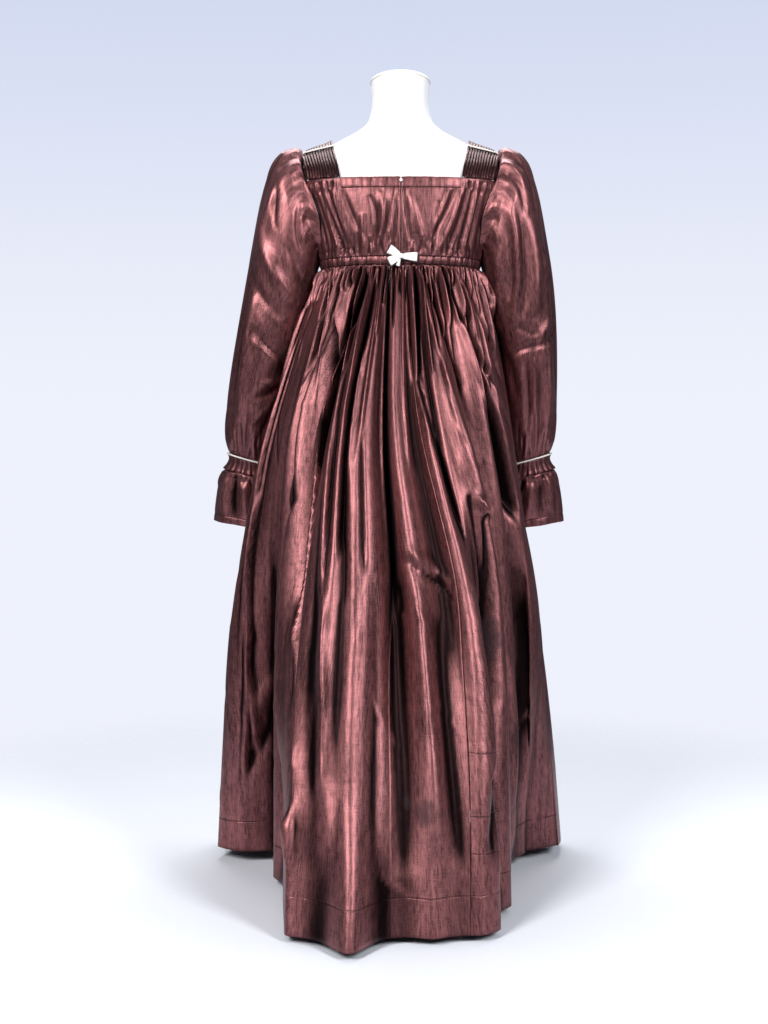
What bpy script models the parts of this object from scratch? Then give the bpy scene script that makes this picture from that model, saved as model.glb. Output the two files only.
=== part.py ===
"""Regency gown of shot silk on a limbless dress form.

Metres, +Z up. The gown faces -Y, so its gathered back and its short train point to +Y, and its left
side is at +X. Every cloth piece is a grid of points on a ring or a section, with a wall given by
Solidify. The origin is the middle of the whole object's foot.
"""
import math

import bpy
import numpy as np

COLLECTION = "regency_gown_on_dress_form"

# Driving heights, from the floor
NECK_BACK = 1.206       # top edge of the back neckline
NECK_FRONT = 1.165      # top edge of the front neckline
WAIST = 1.065           # middle of the high waist casing
HEM = 0.012             # lowest edge of the train
HEM_RISE = 0.010        # how much higher the hem is at the sides and the front
TORSO_FOOT = 0.800      # where the form ends, inside the skirt

# Cloth and seams
CLOTH = 0.0015          # wall of a silk piece
GAP = 0.0006            # left open between two pieces at a seam
SKIRT_GAP = 0.0012      # the same between the skirt's folded panels
EASE = 0.0045           # inner face of the bodice, off the form
LAP = CLOTH + GAP       # step out of a band that lies on a panel
CASING = 0.014          # height of the waist casing
CASING_SWELL = 0.0012   # how far its middle stands out
BAND = 0.018            # height of the neckline band
LEAN = -0.019           # how far the upper gown stands to its right of the hem

# Form
NECK_TILT = math.radians(6.6)
CAP_DOME = 0.009
POLE_RADIUS = 0.0125
BASE_RADIUS = 0.180
BASE_HEIGHT = 0.010
TOUCH = 0.0003          # between pieces of the form that meet


def table(columns, *rows):
    """A short table as named columns."""
    return dict(zip(columns.split(), np.array(rows, dtype=float).T))


# Body of the form: half width, depth to the back and to the front, and how square its ring is
BODY = table(
    "z      half    back    front   square",
    (0.800, 0.1600, 0.1120, 0.1000, 2.2),
    (0.870, 0.1560, 0.1080, 0.1000, 2.2),
    (0.965, 0.1260, 0.0850, 0.0880, 2.2),
    (1.065, 0.1355, 0.0950, 0.1000, 2.2),
    (1.130, 0.1500, 0.1030, 0.1300, 2.3),
    (1.180, 0.1660, 0.1010, 0.1180, 2.6),
    (1.210, 0.1730, 0.0950, 0.0960, 2.8),
    (1.235, 0.1750, 0.0800, 0.0740, 2.8),
    (1.250, 0.1700, 0.0660, 0.0580, 2.6),
    (1.262, 0.1520, 0.0560, 0.0480, 2.4),
    (1.275, 0.1270, 0.0510, 0.0440, 2.2),
    (1.289, 0.1000, 0.0495, 0.0430, 2.1),
    (1.302, 0.0755, 0.0490, 0.0430, 2.0),
    (1.316, 0.0590, 0.0495, 0.0455, 2.0),
    (1.332, 0.0530, 0.0505, 0.0480, 2.0),
    (1.388, 0.0520, 0.0520, 0.0520, 2.0),
)

# Armhole: an oval on the side of the body
ARM_Z = 1.1690
ARM_HIGH = 0.0845
ARM_DEEP = 0.0620
ARM_INSET = 0.0025      # how far the sleeve's seam lies inside the armhole

# Sleeve and cuff sections, from shoulder to hem: outer and inner point, middle depth, half depth
SLEEVE = table(
    "outer_x outer_z inner_x inner_z mid_y   deep",
    (0.1840, 1.2715, 0.1475, 1.0825, 0.000, 0.067),
    (0.2080, 1.2650, 0.1500, 1.0750, 0.000, 0.072),
    (0.2300, 1.2370, 0.1540, 1.0630, 0.000, 0.075),
    (0.2480, 1.1810, 0.1590, 1.0460, 0.000, 0.072),
    (0.2640, 1.1010, 0.1670, 1.0180, -0.002, 0.066),
    (0.2770, 1.0270, 0.1760, 0.9780, -0.007, 0.061),
    (0.2880, 0.9480, 0.1870, 0.9200, -0.016, 0.057),
    (0.2970, 0.8700, 0.1980, 0.8560, -0.032, 0.054),
    (0.3020, 0.8060, 0.2080, 0.7930, -0.052, 0.051),
    (0.3020, 0.7600, 0.2150, 0.7450, -0.070, 0.047),
    (0.2970, 0.7320, 0.2220, 0.7110, -0.084, 0.040),
)
CUFF = table(
    "outer_x outer_z inner_x inner_z mid_y   deep",
    (0.3080, 0.7020, 0.2150, 0.6820, -0.093, 0.046),
    (0.3180, 0.6780, 0.2120, 0.6600, -0.100, 0.050),
    (0.3250, 0.6440, 0.2130, 0.6260, -0.109, 0.051),
    (0.3300, 0.6060, 0.2140, 0.5890, -0.118, 0.051),
)
WRIST_BAND = table(
    "outer_x outer_z inner_x inner_z mid_y   deep",
    (0.2975, 0.7300, 0.2220, 0.7090, -0.0845, 0.040),
    (0.2985, 0.7180, 0.2215, 0.6980, -0.0875, 0.041),
    (0.3075, 0.7030, 0.2155, 0.6830, -0.0927, 0.0455),
)
SLEEVE_RIPPLE = table("row height", (1, 0.0022), (2, 0.0030), (3, 0.0020), (10, 0.0020), (11, 0.0022))
CUFF_RIPPLE = table("row height", (1, 0.0025), (2, 0.0030), (3, 0.0030))
SECTION_POINTS = 20     # round a sleeve or a cuff
PIPE_RADIUS = 0.0015
WRIST_PIPE_OUT = 0.0028 # from the wrist's ring to the near side of its piping
WRIST_GAP = 0.0010      # between sleeve and wrist band, and between band and cuff

# Skirt rings: half width, shift of the sides, depths, then the train: its reach and half width
SKIRT = table(
    "z      half    mid_y  back   front  reach  train",
    (1.065, 0.1400, 0.000, 0.100, 0.105, 0.000, 0.110),
    (0.953, 0.1740, 0.005, 0.125, 0.112, 0.020, 0.125),
    (0.828, 0.2040, 0.012, 0.126, 0.130, 0.058, 0.150),
    (0.594, 0.2490, 0.020, 0.105, 0.156, 0.150, 0.172),
    (0.376, 0.2840, 0.020, 0.078, 0.195, 0.245, 0.184),
    (0.211, 0.3010, 0.020, 0.055, 0.225, 0.325, 0.186),
    (0.012, 0.3160, 0.020, 0.040, 0.255, 0.395, 0.186),
)
SKIRT_SQUARE = 2.2
TRAIN_EDGE_LEFT = 0.022     # half the width over which the train's side turns back
TRAIN_EDGE_RIGHT = 0.052
TRAIN_LEFT = -0.009         # the train is this much narrower on its left

# Where the gathers put the cloth: share of the hem, from centre back, against share of the waist
GATHER = table(
    "cloth waist",
    (0.00, 0.000),
    (0.06, 0.038),
    (0.12, 0.078),
    (0.24, 0.172),
    (0.36, 0.300),
    (0.50, 0.500),
)
GATHER_SHIFT = 0.045        # the waist's centre back against the hem's
GATHER_END = 0.45           # height below which the cloth hangs evenly

# Seams of the skirt, as shares of the hem from centre back, positive on the gown's left
SEAM_LEFT = 0.214
SEAM_RIGHT = -0.060
SEAM_FRONT = 0.360
ALMOST = 1e-7               # nearest share to the opening
SLIT_END = 0.560            # height of the foot of the back opening

# Folds: place as a share of the hem, half width as a share, depth out of the ring, and heights
# between which the fold grows from nothing, and those where it fades (below the hem: never)
FOLDS = table(
    "place   wide   depth   start  full   fade   gone",
    (0.030, 0.028, 0.030, 0.950, 0.350, -0.10, -0.20),
    (0.026, 0.014, 0.046, 0.250, 0.020, -0.10, -0.20),
    (-0.004, 0.011, -0.030, 1.060, 0.880, 0.10, 0.00),
    (0.058, 0.010, 0.014, 1.040, 0.800, 0.40, 0.25),
    (0.080, 0.012, -0.040, 1.060, 0.850, 0.30, 0.10),
    (0.096, 0.009, 0.022, 1.040, 0.800, 0.25, 0.05),
    (0.113, 0.010, -0.030, 1.050, 0.850, 0.55, 0.40),
    (0.137, 0.013, 0.018, 1.040, 0.800, 0.35, 0.15),
    (0.168, 0.014, -0.018, 1.040, 0.800, 0.10, 0.00),
    (0.192, 0.012, 0.016, 1.030, 0.750, -0.10, -0.20),
    (0.232, 0.014, -0.010, 0.700, 0.400, -0.10, -0.20),
    (0.272, 0.016, 0.012, 1.000, 0.600, -0.10, -0.20),
    (0.312, 0.016, -0.012, 1.000, 0.500, -0.10, -0.20),
    (0.352, 0.018, 0.012, 1.000, 0.400, -0.10, -0.20),
    (0.400, 0.020, -0.012, 1.000, 0.400, -0.10, -0.20),
    (0.450, 0.022, 0.012, 1.000, 0.400, -0.10, -0.20),
    (-0.028, 0.013, 0.014, 1.040, 0.700, -0.10, -0.20),
    (-0.056, 0.011, -0.010, 1.040, 0.800, 0.50, 0.30),
    (-0.078, 0.012, 0.018, 1.040, 0.700, -0.10, -0.20),
    (-0.103, 0.011, -0.026, 0.700, 0.350, -0.10, -0.20),
    (-0.128, 0.013, 0.020, 1.040, 0.700, -0.10, -0.20),
    (-0.160, 0.011, -0.016, 1.040, 0.800, 0.20, 0.05),
    (-0.185, 0.012, 0.016, 1.040, 0.800, 0.10, 0.00),
    (-0.212, 0.013, -0.032, 1.060, 0.820, 0.45, 0.25),
    (-0.245, 0.014, 0.014, 1.030, 0.700, -0.10, -0.20),
    (-0.285, 0.015, -0.012, 1.000, 0.500, -0.10, -0.20),
    (-0.330, 0.017, 0.012, 1.000, 0.450, -0.10, -0.20),
    (-0.375, 0.019, -0.012, 1.000, 0.400, -0.10, -0.20),
    (-0.425, 0.021, 0.012, 1.000, 0.400, -0.10, -0.20),
    (-0.475, 0.020, -0.012, 1.000, 0.400, -0.10, -0.20),
)
RIPPLE = 0.0022             # half height of the small gathers below the waist casing
RIPPLE_END = 0.86
SKIRT_ROWS = (WAIST - CASING / 2 - 2 * GAP
              - (WAIST - CASING / 2 - 2 * GAP - HEM) * np.linspace(0, 1, 13) ** 1.25)

# Bodice gathers
PLEAT = 0.0016              # half height of the bodice's pleats
BACK_COLUMNS = 11           # between centre back and armhole
FRONT_COLUMNS = 22
BODICE_ROWS = (NECK_BACK, 1.192, 1.178, 1.150, 1.120, 1.095, 1.087, WAIST + CASING / 2 + GAP)

# Straps: half widths from the gown's middle, at the necklines and on the shoulder
STRAP_INNER = 0.104
STRAP_INNER_TOP = 0.1215
STRAP_OUTER = 0.160
STRAP_OUTER_TOP = 0.172
STRAP_OUTER_FRONT = 0.152
SHOULDER_SEAM = 0.36        # share of the strap's length, from back neckline to front neckline
SHOULDER_GAP = 0.006        # half the share left open at that seam

# White tape bow at centre back, and the small button of the neck
TAPE = 0.009
TAPE_WALL = 0.0010
BOW_OUT = 0.0085            # from the casing to the middle of the knot
BOW_UP = 0.006              # the knot's middle above the casing's
KNOT_SIZE = (0.011, 0.008, 0.010)
KNOT_ROUND = 0.0028
LOOP_START = 0.007          # from the knot's middle
TAIL_STEP = np.array([0.006, 0.004, -0.012])
LOOPS = {                   # length, half height of the opening, turn in degrees
    "bow_loop_left": (0.024, 0.0040, 28.0),
    "bow_loop_low": (0.022, 0.0036, -22.0),
    "bow_loop_right": (0.026, 0.0040, 184.0),
}
BUTTON_DOWN = 0.0065        # from the neckline's edge to the button's middle
BUTTON_RADIUS = 0.0026
BUTTON_HEIGHT = 0.0012

COLOURS = {                 # colour, roughness, metallic
    "silk": ((0.155, 0.042, 0.038), 0.36, 0.0),
    "cord": ((0.78, 0.74, 0.68), 0.65, 0.0),
    "tape": ((0.85, 0.82, 0.76), 0.75, 0.0),
    "form": ((0.84, 0.84, 0.85), 0.60, 0.0),
    "stand": ((0.72, 0.73, 0.75), 0.40, 0.6),
}


def smooth(x, places, values):
    """Cubic through the rows of a table, with slopes from the neighbours and flat past the ends."""
    if places[0] > places[-1]:
        places, values = places[::-1], values[::-1]
    x = np.clip(x, places[0], places[-1])
    slope = np.gradient(values, places)
    row = np.clip(np.searchsorted(places, x) - 1, 0, len(places) - 2)
    span = places[row + 1] - places[row]
    t = (x - places[row]) / span
    return ((2 * t**3 - 3 * t**2 + 1) * values[row] + (t**3 - 2 * t**2 + t) * span * slope[row]
            + (3 * t**2 - 2 * t**3) * values[row + 1] + (t**3 - t**2) * span * slope[row + 1])


def ramp(start, end, x):
    """Smooth step from 0 at start to 1 at end; start may be the higher value."""
    t = np.clip((x - start) / (end - start), 0.0, 1.0)
    return t * t * (3 - 2 * t)


def lean(z):
    return LEAN * ramp(0.70, 1.08, z)


def power(value, exponent):
    """Signed power."""
    return np.sign(value) * np.abs(value) ** exponent


def body_ring(phi, z, out):
    """Points round the body at height z; phi runs from centre back by +X. z may vary by point."""
    square = smooth(z, BODY["z"], BODY["square"])
    half = smooth(z, BODY["z"], BODY["half"]) + out
    back = smooth(z, BODY["z"], BODY["back"]) + out
    front = smooth(z, BODY["z"], BODY["front"]) + out
    x = half * power(np.sin(phi), 2 / square)
    y = np.where(np.cos(phi) > 0, back, front) * power(np.cos(phi), 2 / square)
    return np.stack([x + lean(z), y, z + 0 * x], axis=-1)


def body_angle(y, z, out):
    """Angle of the ring's point at depth y, on the +X side."""
    square = smooth(z, BODY["z"], BODY["square"])
    side = "back" if y > 0 else "front"
    depth = smooth(z, BODY["z"], BODY[side]) + out
    return np.arccos(power(y / depth, square / 2))


def armhole_depth(z):
    """Half depth of the armhole oval at height z, 0 below it."""
    return ARM_DEEP * np.sqrt(np.maximum(0.0, 1 - ((z - ARM_Z) / ARM_HIGH) ** 2))


def material(name):
    found = bpy.data.materials.get(name)
    if found:
        return found
    colour, roughness, metallic = COLOURS[name]
    made = bpy.data.materials.new(name)
    made.use_nodes = True
    shader = made.node_tree.nodes["Principled BSDF"]
    shader.inputs["Base Color"].default_value = (*colour, 1.0)
    shader.inputs["Roughness"].default_value = roughness
    shader.inputs["Metallic"].default_value = metallic
    return made


def add(name, mesh, finish):
    piece = bpy.data.objects.new(name, mesh)
    mesh.materials.clear()
    mesh.materials.append(material(finish))
    bpy.data.collections[COLLECTION].objects.link(piece)
    return piece


def cloth(name, grid, finish="silk", closed=False, wall=CLOTH, skip=None):
    """A sheet through a grid of rows (downwards) and columns, walled inwards from its outer face.

    closed joins the last column to the first; skip(row, column) leaves a face out.
    """
    rows, columns = grid.shape[:2]
    faces = []
    for i in range(rows - 1):
        for j in range(columns if closed else columns - 1):
            k = (j + 1) % columns
            if skip is None or not skip(i, j):
                faces.append((i * columns + j, i * columns + k,
                              (i + 1) * columns + k, (i + 1) * columns + j))
    mesh = bpy.data.meshes.new(name)
    mesh.from_pydata(grid.reshape(-1, 3).tolist(), [], faces)
    mesh.shade_smooth()
    piece = add(name, mesh, finish)
    solidify = piece.modifiers.new("wall", "SOLIDIFY")
    solidify.thickness = wall
    solidify.offset = -1.0
    return piece


def facing_out(grid, side):
    """Columns of a grid on the gown's right side run the other way round, so they are turned."""
    return grid if side > 0 else grid[:, ::-1]


def mirrored(points, side):
    """Points given from the gown's middle, on either side, with the lean of their height."""
    placed = points * np.array([side, 1.0, 1.0])
    placed[..., 0] += lean(points[..., 2])
    return placed


# ---------------------------------------------------------------- form and stand

def make_torso():
    rows = np.unique(np.concatenate([np.linspace(TORSO_FOOT, 1.19, 12), BODY["z"][6:]]))
    phi = np.linspace(0, 2 * math.pi, 36, endpoint=False)
    rings = np.array([body_ring(phi, z, 0.0) for z in rows[::-1]])
    high = ramp(1.335, 1.388, rings[..., 2])
    rings[..., 2] += high * rings[..., 1] * math.tan(NECK_TILT)
    count = len(phi)
    faces = []
    for i in range(len(rows) - 1):
        for j in range(count):
            k = (j + 1) % count
            faces.append((i * count + j, i * count + k, (i + 1) * count + k, (i + 1) * count + j))
    faces.append(tuple(reversed(range(count))))
    faces.append(tuple(range((len(rows) - 1) * count, len(rows) * count)))
    mesh = bpy.data.meshes.new("form_torso")
    mesh.from_pydata(rings.reshape(-1, 3).tolist(), [], faces)
    mesh.shade_smooth()
    add("form_torso", mesh, "form")
    return rings[0]


def make_neck_cap(rim):
    """A low dome on the neck's slanting top, turned from a quarter oval profile."""
    middle = rim.mean(axis=0)
    radius = BODY["half"][-1]
    lip = 0.0025
    profile = [(0.0, lip + CAP_DOME)]
    for k in range(1, 6):
        angle = math.radians(90 - 18 * k)
        profile.append((radius * math.cos(angle), lip + CAP_DOME * math.sin(angle)))
    profile += [(radius, 0.0), (0.0, 0.0)]
    mesh = bpy.data.meshes.new("form_neck_cap")
    mesh.from_pydata([(x, 0.0, z) for x, z in profile], [(k, k + 1) for k in range(len(profile) - 1)], [])
    piece = add("form_neck_cap", mesh, "form")
    screw = piece.modifiers.new("turn", "SCREW")
    screw.steps = screw.render_steps = 36
    screw.use_merge_vertices = True
    screw.merge_threshold = 0.00001
    piece.rotation_euler = (NECK_TILT, 0.0, 0.0)
    piece.location = (middle[0], middle[1], middle[2] + TOUCH / math.cos(NECK_TILT))


def make_stand():
    bpy.ops.mesh.primitive_cylinder_add(vertices=48, radius=BASE_RADIUS, depth=BASE_HEIGHT)
    base = bpy.context.object
    round_edges(base, 0.002, 2)
    base.location = (lean(WAIST), 0.0, BASE_HEIGHT / 2)
    finish_primitive(base, "form_base", "stand")
    low = BASE_HEIGHT + TOUCH
    high = TORSO_FOOT - TOUCH
    bpy.ops.mesh.primitive_cylinder_add(vertices=24, radius=POLE_RADIUS, depth=high - low)
    pole = bpy.context.object
    pole.location = (lean(WAIST), 0.0, (high + low) / 2)
    finish_primitive(pole, "form_pole", "stand")


def round_edges(piece, width, segments):
    bevel = piece.modifiers.new("edge", "BEVEL")
    bevel.width = width
    bevel.segments = segments
    bevel.limit_method = "ANGLE"


def finish_primitive(piece, name, finish):
    """Name a piece made by an operator, give it its material and move it to the collection."""
    piece.name = name
    piece.data.name = name
    piece.data.materials.append(material(finish))
    piece.users_collection[0].objects.unlink(piece)
    bpy.data.collections[COLLECTION].objects.link(piece)


# ---------------------------------------------------------------- bodice

def pleated(columns, z, top, bottom):
    """Pleat height of each column at height z: nothing at the neckline band, full below it."""
    alternate = np.where(np.arange(columns) % 2 == 0, -1.0, 1.0)
    return PLEAT * alternate * ramp(top, bottom, z)


def make_bodice_back(side, name):
    rows = []
    for z in BODICE_ROWS:
        armhole = armhole_depth(z)
        last = body_angle(armhole, z, EASE + CLOTH) if armhole > 0 else math.pi / 2
        half = smooth(z, BODY["z"], BODY["half"])
        first = power(GAP / half, smooth(z, BODY["z"], BODY["square"]) / 2)
        phi = np.linspace(first, last - GAP / half, BACK_COLUMNS)
        out = EASE + CLOTH + pleated(BACK_COLUMNS, z, NECK_BACK - BAND, NECK_BACK - 2 * BAND)
        ring = body_ring(phi, z + 0 * phi, out)
        ring[:, 0] -= lean(z)
        rows.append(ring)
    cloth(name, facing_out(mirrored(np.array(rows), side), side))


def make_bodice_front():
    rows = []
    for z in (NECK_FRONT,) + BODICE_ROWS:
        if z <= NECK_FRONT:
            rows.append(front_row(z))
    cloth("bodice_front", np.array(rows))


def front_row(z):
    armhole = armhole_depth(z)
    first = body_angle(-armhole, z, EASE + CLOTH) if armhole > 0 else math.pi / 2
    edge = GAP / smooth(z, BODY["z"], BODY["half"])
    phi = np.linspace(first + edge, 2 * math.pi - first - edge, FRONT_COLUMNS)
    out = EASE + CLOTH + pleated(FRONT_COLUMNS, z, NECK_FRONT - BAND, NECK_FRONT - 2 * BAND)
    return body_ring(phi, z + 0 * phi, out)


def make_neck_bands():
    """Flat bands on the neckline: the back one in two halves, the front one whole."""
    out = EASE + CLOTH + LAP + PLEAT / 2
    for side, name in ((1, "neck_band_left"), (-1, "neck_band_right")):
        rows = []
        for z in (NECK_BACK + GAP, NECK_BACK - BAND / 2, NECK_BACK - BAND):
            x = np.linspace(GAP, STRAP_INNER - GAP, 7)
            rows.append(body_at_x(x, z, out, back=True))
        cloth(name, facing_out(mirrored(np.array(rows), side), side))
    rows = []
    for z in (NECK_FRONT + GAP, NECK_FRONT - BAND / 2, NECK_FRONT - BAND):
        x = np.linspace(STRAP_INNER, -STRAP_INNER, 13)
        row = body_at_x(x, z, out, back=False)
        row[:, 0] += lean(z)
        rows.append(row)
    cloth("neck_band_front", np.array(rows))


def body_at_x(x, z, out, back):
    """Points of the body at half widths x and one height, before the lean."""
    square = smooth(z, BODY["z"], BODY["square"])
    half = smooth(z, BODY["z"], BODY["half"]) + out
    depth = smooth(z, BODY["z"], BODY["back" if back else "front"]) + out
    y = depth * np.maximum(0.0, 1 - (np.abs(x) / half) ** square) ** (1 / square)
    return np.stack([x, y if back else -y, z + 0 * x], axis=-1)


def over_shoulder(x, share, out):
    """Point of the strap at half width x: share of the way from back to front neckline."""
    z = np.linspace(NECK_FRONT, 1.30, 700)
    half = smooth(z, BODY["z"], BODY["half"]) + out
    square = smooth(z, BODY["z"], BODY["square"])
    ring = np.maximum(0.0, 1 - (x / half) ** square) ** (1 / square)
    back = (half > x) & (z >= NECK_BACK + GAP)
    front = half > x
    path_y = np.concatenate([((smooth(z, BODY["z"], BODY["back"]) + out) * ring)[back],
                             (-(smooth(z, BODY["z"], BODY["front"]) + out) * ring)[front][::-1]])
    path_z = np.concatenate([z[back], z[front][::-1]]) + GAP
    length = np.concatenate([[0.0], np.cumsum(np.hypot(np.diff(path_y), np.diff(path_z)))])
    along = share * length[-1]
    return np.array([x, np.interp(along, length, path_y), np.interp(along, length, path_z)])


def strap_edges(share):
    """Half widths of the strap's neck edge and armhole edge."""
    rise = math.sin(math.pi * share)
    inner = STRAP_INNER + (STRAP_INNER_TOP - STRAP_INNER) * rise
    foot = STRAP_OUTER + (STRAP_OUTER_FRONT - STRAP_OUTER) * share
    return inner, foot + (STRAP_OUTER_TOP - foot) * rise


def make_straps():
    out = EASE + CLOTH
    for side, half_name in ((1, "left"), (-1, "right")):
        for name, start, end in (("strap_back_", 0.0, SHOULDER_SEAM - SHOULDER_GAP),
                                 ("strap_front_", SHOULDER_SEAM + SHOULDER_GAP, 1.0)):
            rows = []
            for share in np.linspace(start, end, 6):
                inner, outer = strap_edges(share)
                rows.append([over_shoulder(x, share, out) for x in np.linspace(inner, outer, 5)])
            grid = facing_out(mirrored(np.array(rows), side), side)
            cloth(name + half_name, grid)


def make_waist_casing():
    """One strip round the high waist, open at centre back under the bow."""
    edge = 2 * GAP / smooth(WAIST, BODY["z"], BODY["half"])
    phi = np.linspace(edge, 2 * math.pi - edge, 45)
    rows = []
    for z, swell in ((WAIST + CASING / 2, 0.0), (WAIST, CASING_SWELL), (WAIST - CASING / 2, 0.0)):
        rows.append(body_ring(phi, z + 0 * phi, EASE + CLOTH + swell))
    cloth("waist_casing", np.array(rows))


# ---------------------------------------------------------------- sleeves

def section(rows, row, beta):
    """Oval section through a row's outer and inner point; beta runs from the outer point."""
    outer = np.array([rows["outer_x"][row], 0.0, rows["outer_z"][row]])
    inner = np.array([rows["inner_x"][row], 0.0, rows["inner_z"][row]])
    middle = (outer + inner) / 2
    middle[1] = rows["mid_y"][row]
    reach = (outer - inner) / 2
    across = np.array([0.0, rows["deep"][row], 0.0])
    return middle + np.outer(np.cos(beta), reach) - np.outer(np.sin(beta), across)


def armhole_ring(beta, out):
    """The sleeve's seam: the armhole oval on the body, drawn in by a seam's gap."""
    y = -(ARM_DEEP - ARM_INSET) * np.sin(beta)
    z = ARM_Z + (ARM_HIGH - ARM_INSET) * np.cos(beta)
    points = [body_at_x(np.array([0.0]), height, out, back=depth > 0)[0] for depth, height in zip(y, z)]
    reach = np.abs([point[1] for point in points])
    half = np.array([smooth(height, BODY["z"], BODY["half"]) for height in z]) + out
    square = smooth(z, BODY["z"], BODY["square"])
    x = half * (1 - np.minimum(1.0, np.abs(y) / reach) ** square) ** (1 / square)
    return np.stack([x, y, z], axis=-1)


def rippled(rings, ripples):
    """Rings of a sleeve with every other point moved out and in, at the rows of a table."""
    alternate = np.where(np.arange(SECTION_POINTS) % 2 == 0, 1.0, -1.0)
    for row, height in zip(ripples["row"].astype(int), ripples["height"]):
        rings[row] = rings[row] + away_from_middle(rings[row]) * (alternate * height)[:, None]
    return rings


def away_from_middle(ring):
    """Unit vectors from a ring's middle to its points."""
    away = ring - ring.mean(axis=0)
    return away / np.linalg.norm(away, axis=1)[:, None]


def make_sleeves():
    beta = np.linspace(0, 2 * math.pi, SECTION_POINTS, endpoint=False)
    for side, half_name in ((1, "left"), (-1, "right")):
        rings = [armhole_ring(beta, EASE + CLOTH)]
        rings += [section(SLEEVE, row, beta) for row in range(len(SLEEVE["deep"]))]
        grid = mirrored(np.array(rippled(rings, SLEEVE_RIPPLE)), side)
        cloth("sleeve_" + half_name, facing_out(grid, side), closed=True)
        make_wrist(side, half_name, beta)


def make_wrist(side, half_name, beta):
    """Gathered band and flared cuff below the wrist, with a white piping on their seam."""
    gap = np.array([0.0, 0.0, WRIST_GAP])
    band = [section(WRIST_BAND, row, beta) - gap for row in range(len(WRIST_BAND["deep"]))]
    cloth("wrist_band_" + half_name, facing_out(mirrored(np.array(band), side), side), closed=True)
    cuff = [section(CUFF, row, beta) - 2 * gap for row in range(len(CUFF["deep"]))]
    grid = mirrored(np.array(rippled(cuff, CUFF_RIPPLE)), side)
    cloth("cuff_" + half_name, facing_out(grid, side), closed=True)
    ring = section(WRIST_BAND, 0, beta)
    ring = ring + away_from_middle(ring) * (PIPE_RADIUS + WRIST_PIPE_OUT)
    pipe("wrist_piping_" + half_name, mirrored(ring, side), closed=True)


def pipe(name, points, closed):
    """A white cord through points."""
    curve = bpy.data.curves.new(name, "CURVE")
    curve.dimensions = "3D"
    curve.bevel_depth = PIPE_RADIUS
    curve.bevel_resolution = 1
    curve.use_fill_caps = not closed
    spline = curve.splines.new("POLY")
    spline.points.add(len(points) - 1)
    for point, place in zip(spline.points, points):
        point.co = (*place, 1.0)
    spline.use_cyclic_u = closed
    return add(name, curve, "cord")


def make_shoulder_piping():
    """A cord on each shoulder seam, lying on the straps."""
    inner, outer = strap_edges(SHOULDER_SEAM)
    lift = np.array([0.0, GAP, PIPE_RADIUS + 4 * GAP])
    for side, half_name in ((1, "left"), (-1, "right")):
        places = [over_shoulder(x, SHOULDER_SEAM, EASE + CLOTH) + lift
                  for x in np.linspace(inner, outer - 2 * PIPE_RADIUS, 6)]
        pipe("shoulder_piping_" + half_name, mirrored(np.array(places), side), closed=False)


# ---------------------------------------------------------------- skirt

def skirt_half_ring(z, side):
    """One side's ring from centre back to centre front, at height z, before the lean."""
    half, mid_y, back, front, reach, train = (
        smooth(z, SKIRT["z"], SKIRT[key]) for key in ("half", "mid_y", "back", "front", "reach", "train"))
    edge = TRAIN_EDGE_LEFT if side > 0 else TRAIN_EDGE_RIGHT
    train = train + (TRAIN_LEFT if side > 0 else 0.0)
    phi = np.linspace(0, math.pi, 400)
    x = half * np.abs(np.sin(phi)) ** (2 / SKIRT_SQUARE)
    depth = np.where(phi < math.pi / 2, back, front)
    lobe = reach * (1 - ramp(train - edge, train + edge, x)) * (phi < math.pi / 2)
    y = mid_y + depth * power(np.cos(phi), 2 / SKIRT_SQUARE) + lobe
    return side * x, y


def waist_share(cloth_share, z):
    """Share of the ring at which a share of the cloth lies, gathered towards the waist."""
    even = ramp(WAIST + 0.05, GATHER_END, z)
    moved = cloth_share + GATHER_SHIFT * (1 - even) * (1 - np.abs(cloth_share) / 0.5)
    size = np.abs(moved)
    gathered = smooth(size, GATHER["cloth"], GATHER["waist"])
    return np.sign(moved) * (gathered + (size - gathered) * even)


def fold_height(share, z, edge):
    """How far the cloth stands out of the smooth ring at a height; no small gathers at an edge."""
    height = np.zeros_like(share)
    for place, wide, depth, start, full, fade, gone in zip(*FOLDS.values()):
        grown = ramp(start, full, z) * (1 - ramp(fade, gone, z))
        apart = share - place
        height += depth * grown * np.exp(-(apart / wide) ** 2)
    small = np.where(np.arange(len(share)) % 2 == 0, 1.0, -1.0) * (edge == 0)
    return height + RIPPLE * small * ramp(RIPPLE_END, WAIST - 0.03, z)


def skirt_row(share, z, edge):
    """One row of the skirt: places on the ring, moved out by the folds.

    edge is 1 on a column that starts a piece, -1 on one that ends it and 0 between.
    """
    place = waist_share(share, z)
    points = np.zeros((len(share), 3))
    normal = np.zeros((len(share), 2))
    for side in (1, -1):
        x, y = skirt_half_ring(z, side)
        length = np.concatenate([[0.0], np.cumsum(np.hypot(np.diff(x), np.diff(y)))])
        along = length / length[-1]
        placed = place + edge * SKIRT_GAP / (4 * length[-1])
        mine = placed >= 0 if side > 0 else placed < 0
        where = 2 * np.abs(placed[mine])
        across_x = np.gradient(x, length) * side
        across_y = np.gradient(y, length) * side
        points[mine, 0] = np.interp(where, along, x)
        points[mine, 1] = np.interp(where, along, y)
        normal[mine, 0] = -np.interp(where, along, across_y)
        normal[mine, 1] = np.interp(where, along, across_x)
    points[:, :2] += normal * fold_height(share, z, edge)[:, None]
    points[:, 0] += lean(z)
    down = (WAIST - z) / (WAIST - HEM)
    points[:, 2] = z + HEM_RISE * down * ramp(0.17, 0.25, np.abs(share))
    return points


def skirt_piece(name, share, edge, skip=None):
    grid = np.array([skirt_row(share, z, edge) for z in SKIRT_ROWS])
    cloth(name, grid, skip=skip)


def seam_edges(columns):
    """Marks of a piece's first and last column."""
    edge = np.zeros(columns)
    edge[0] = 1.0
    edge[-1] = -1.0
    return edge


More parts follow.
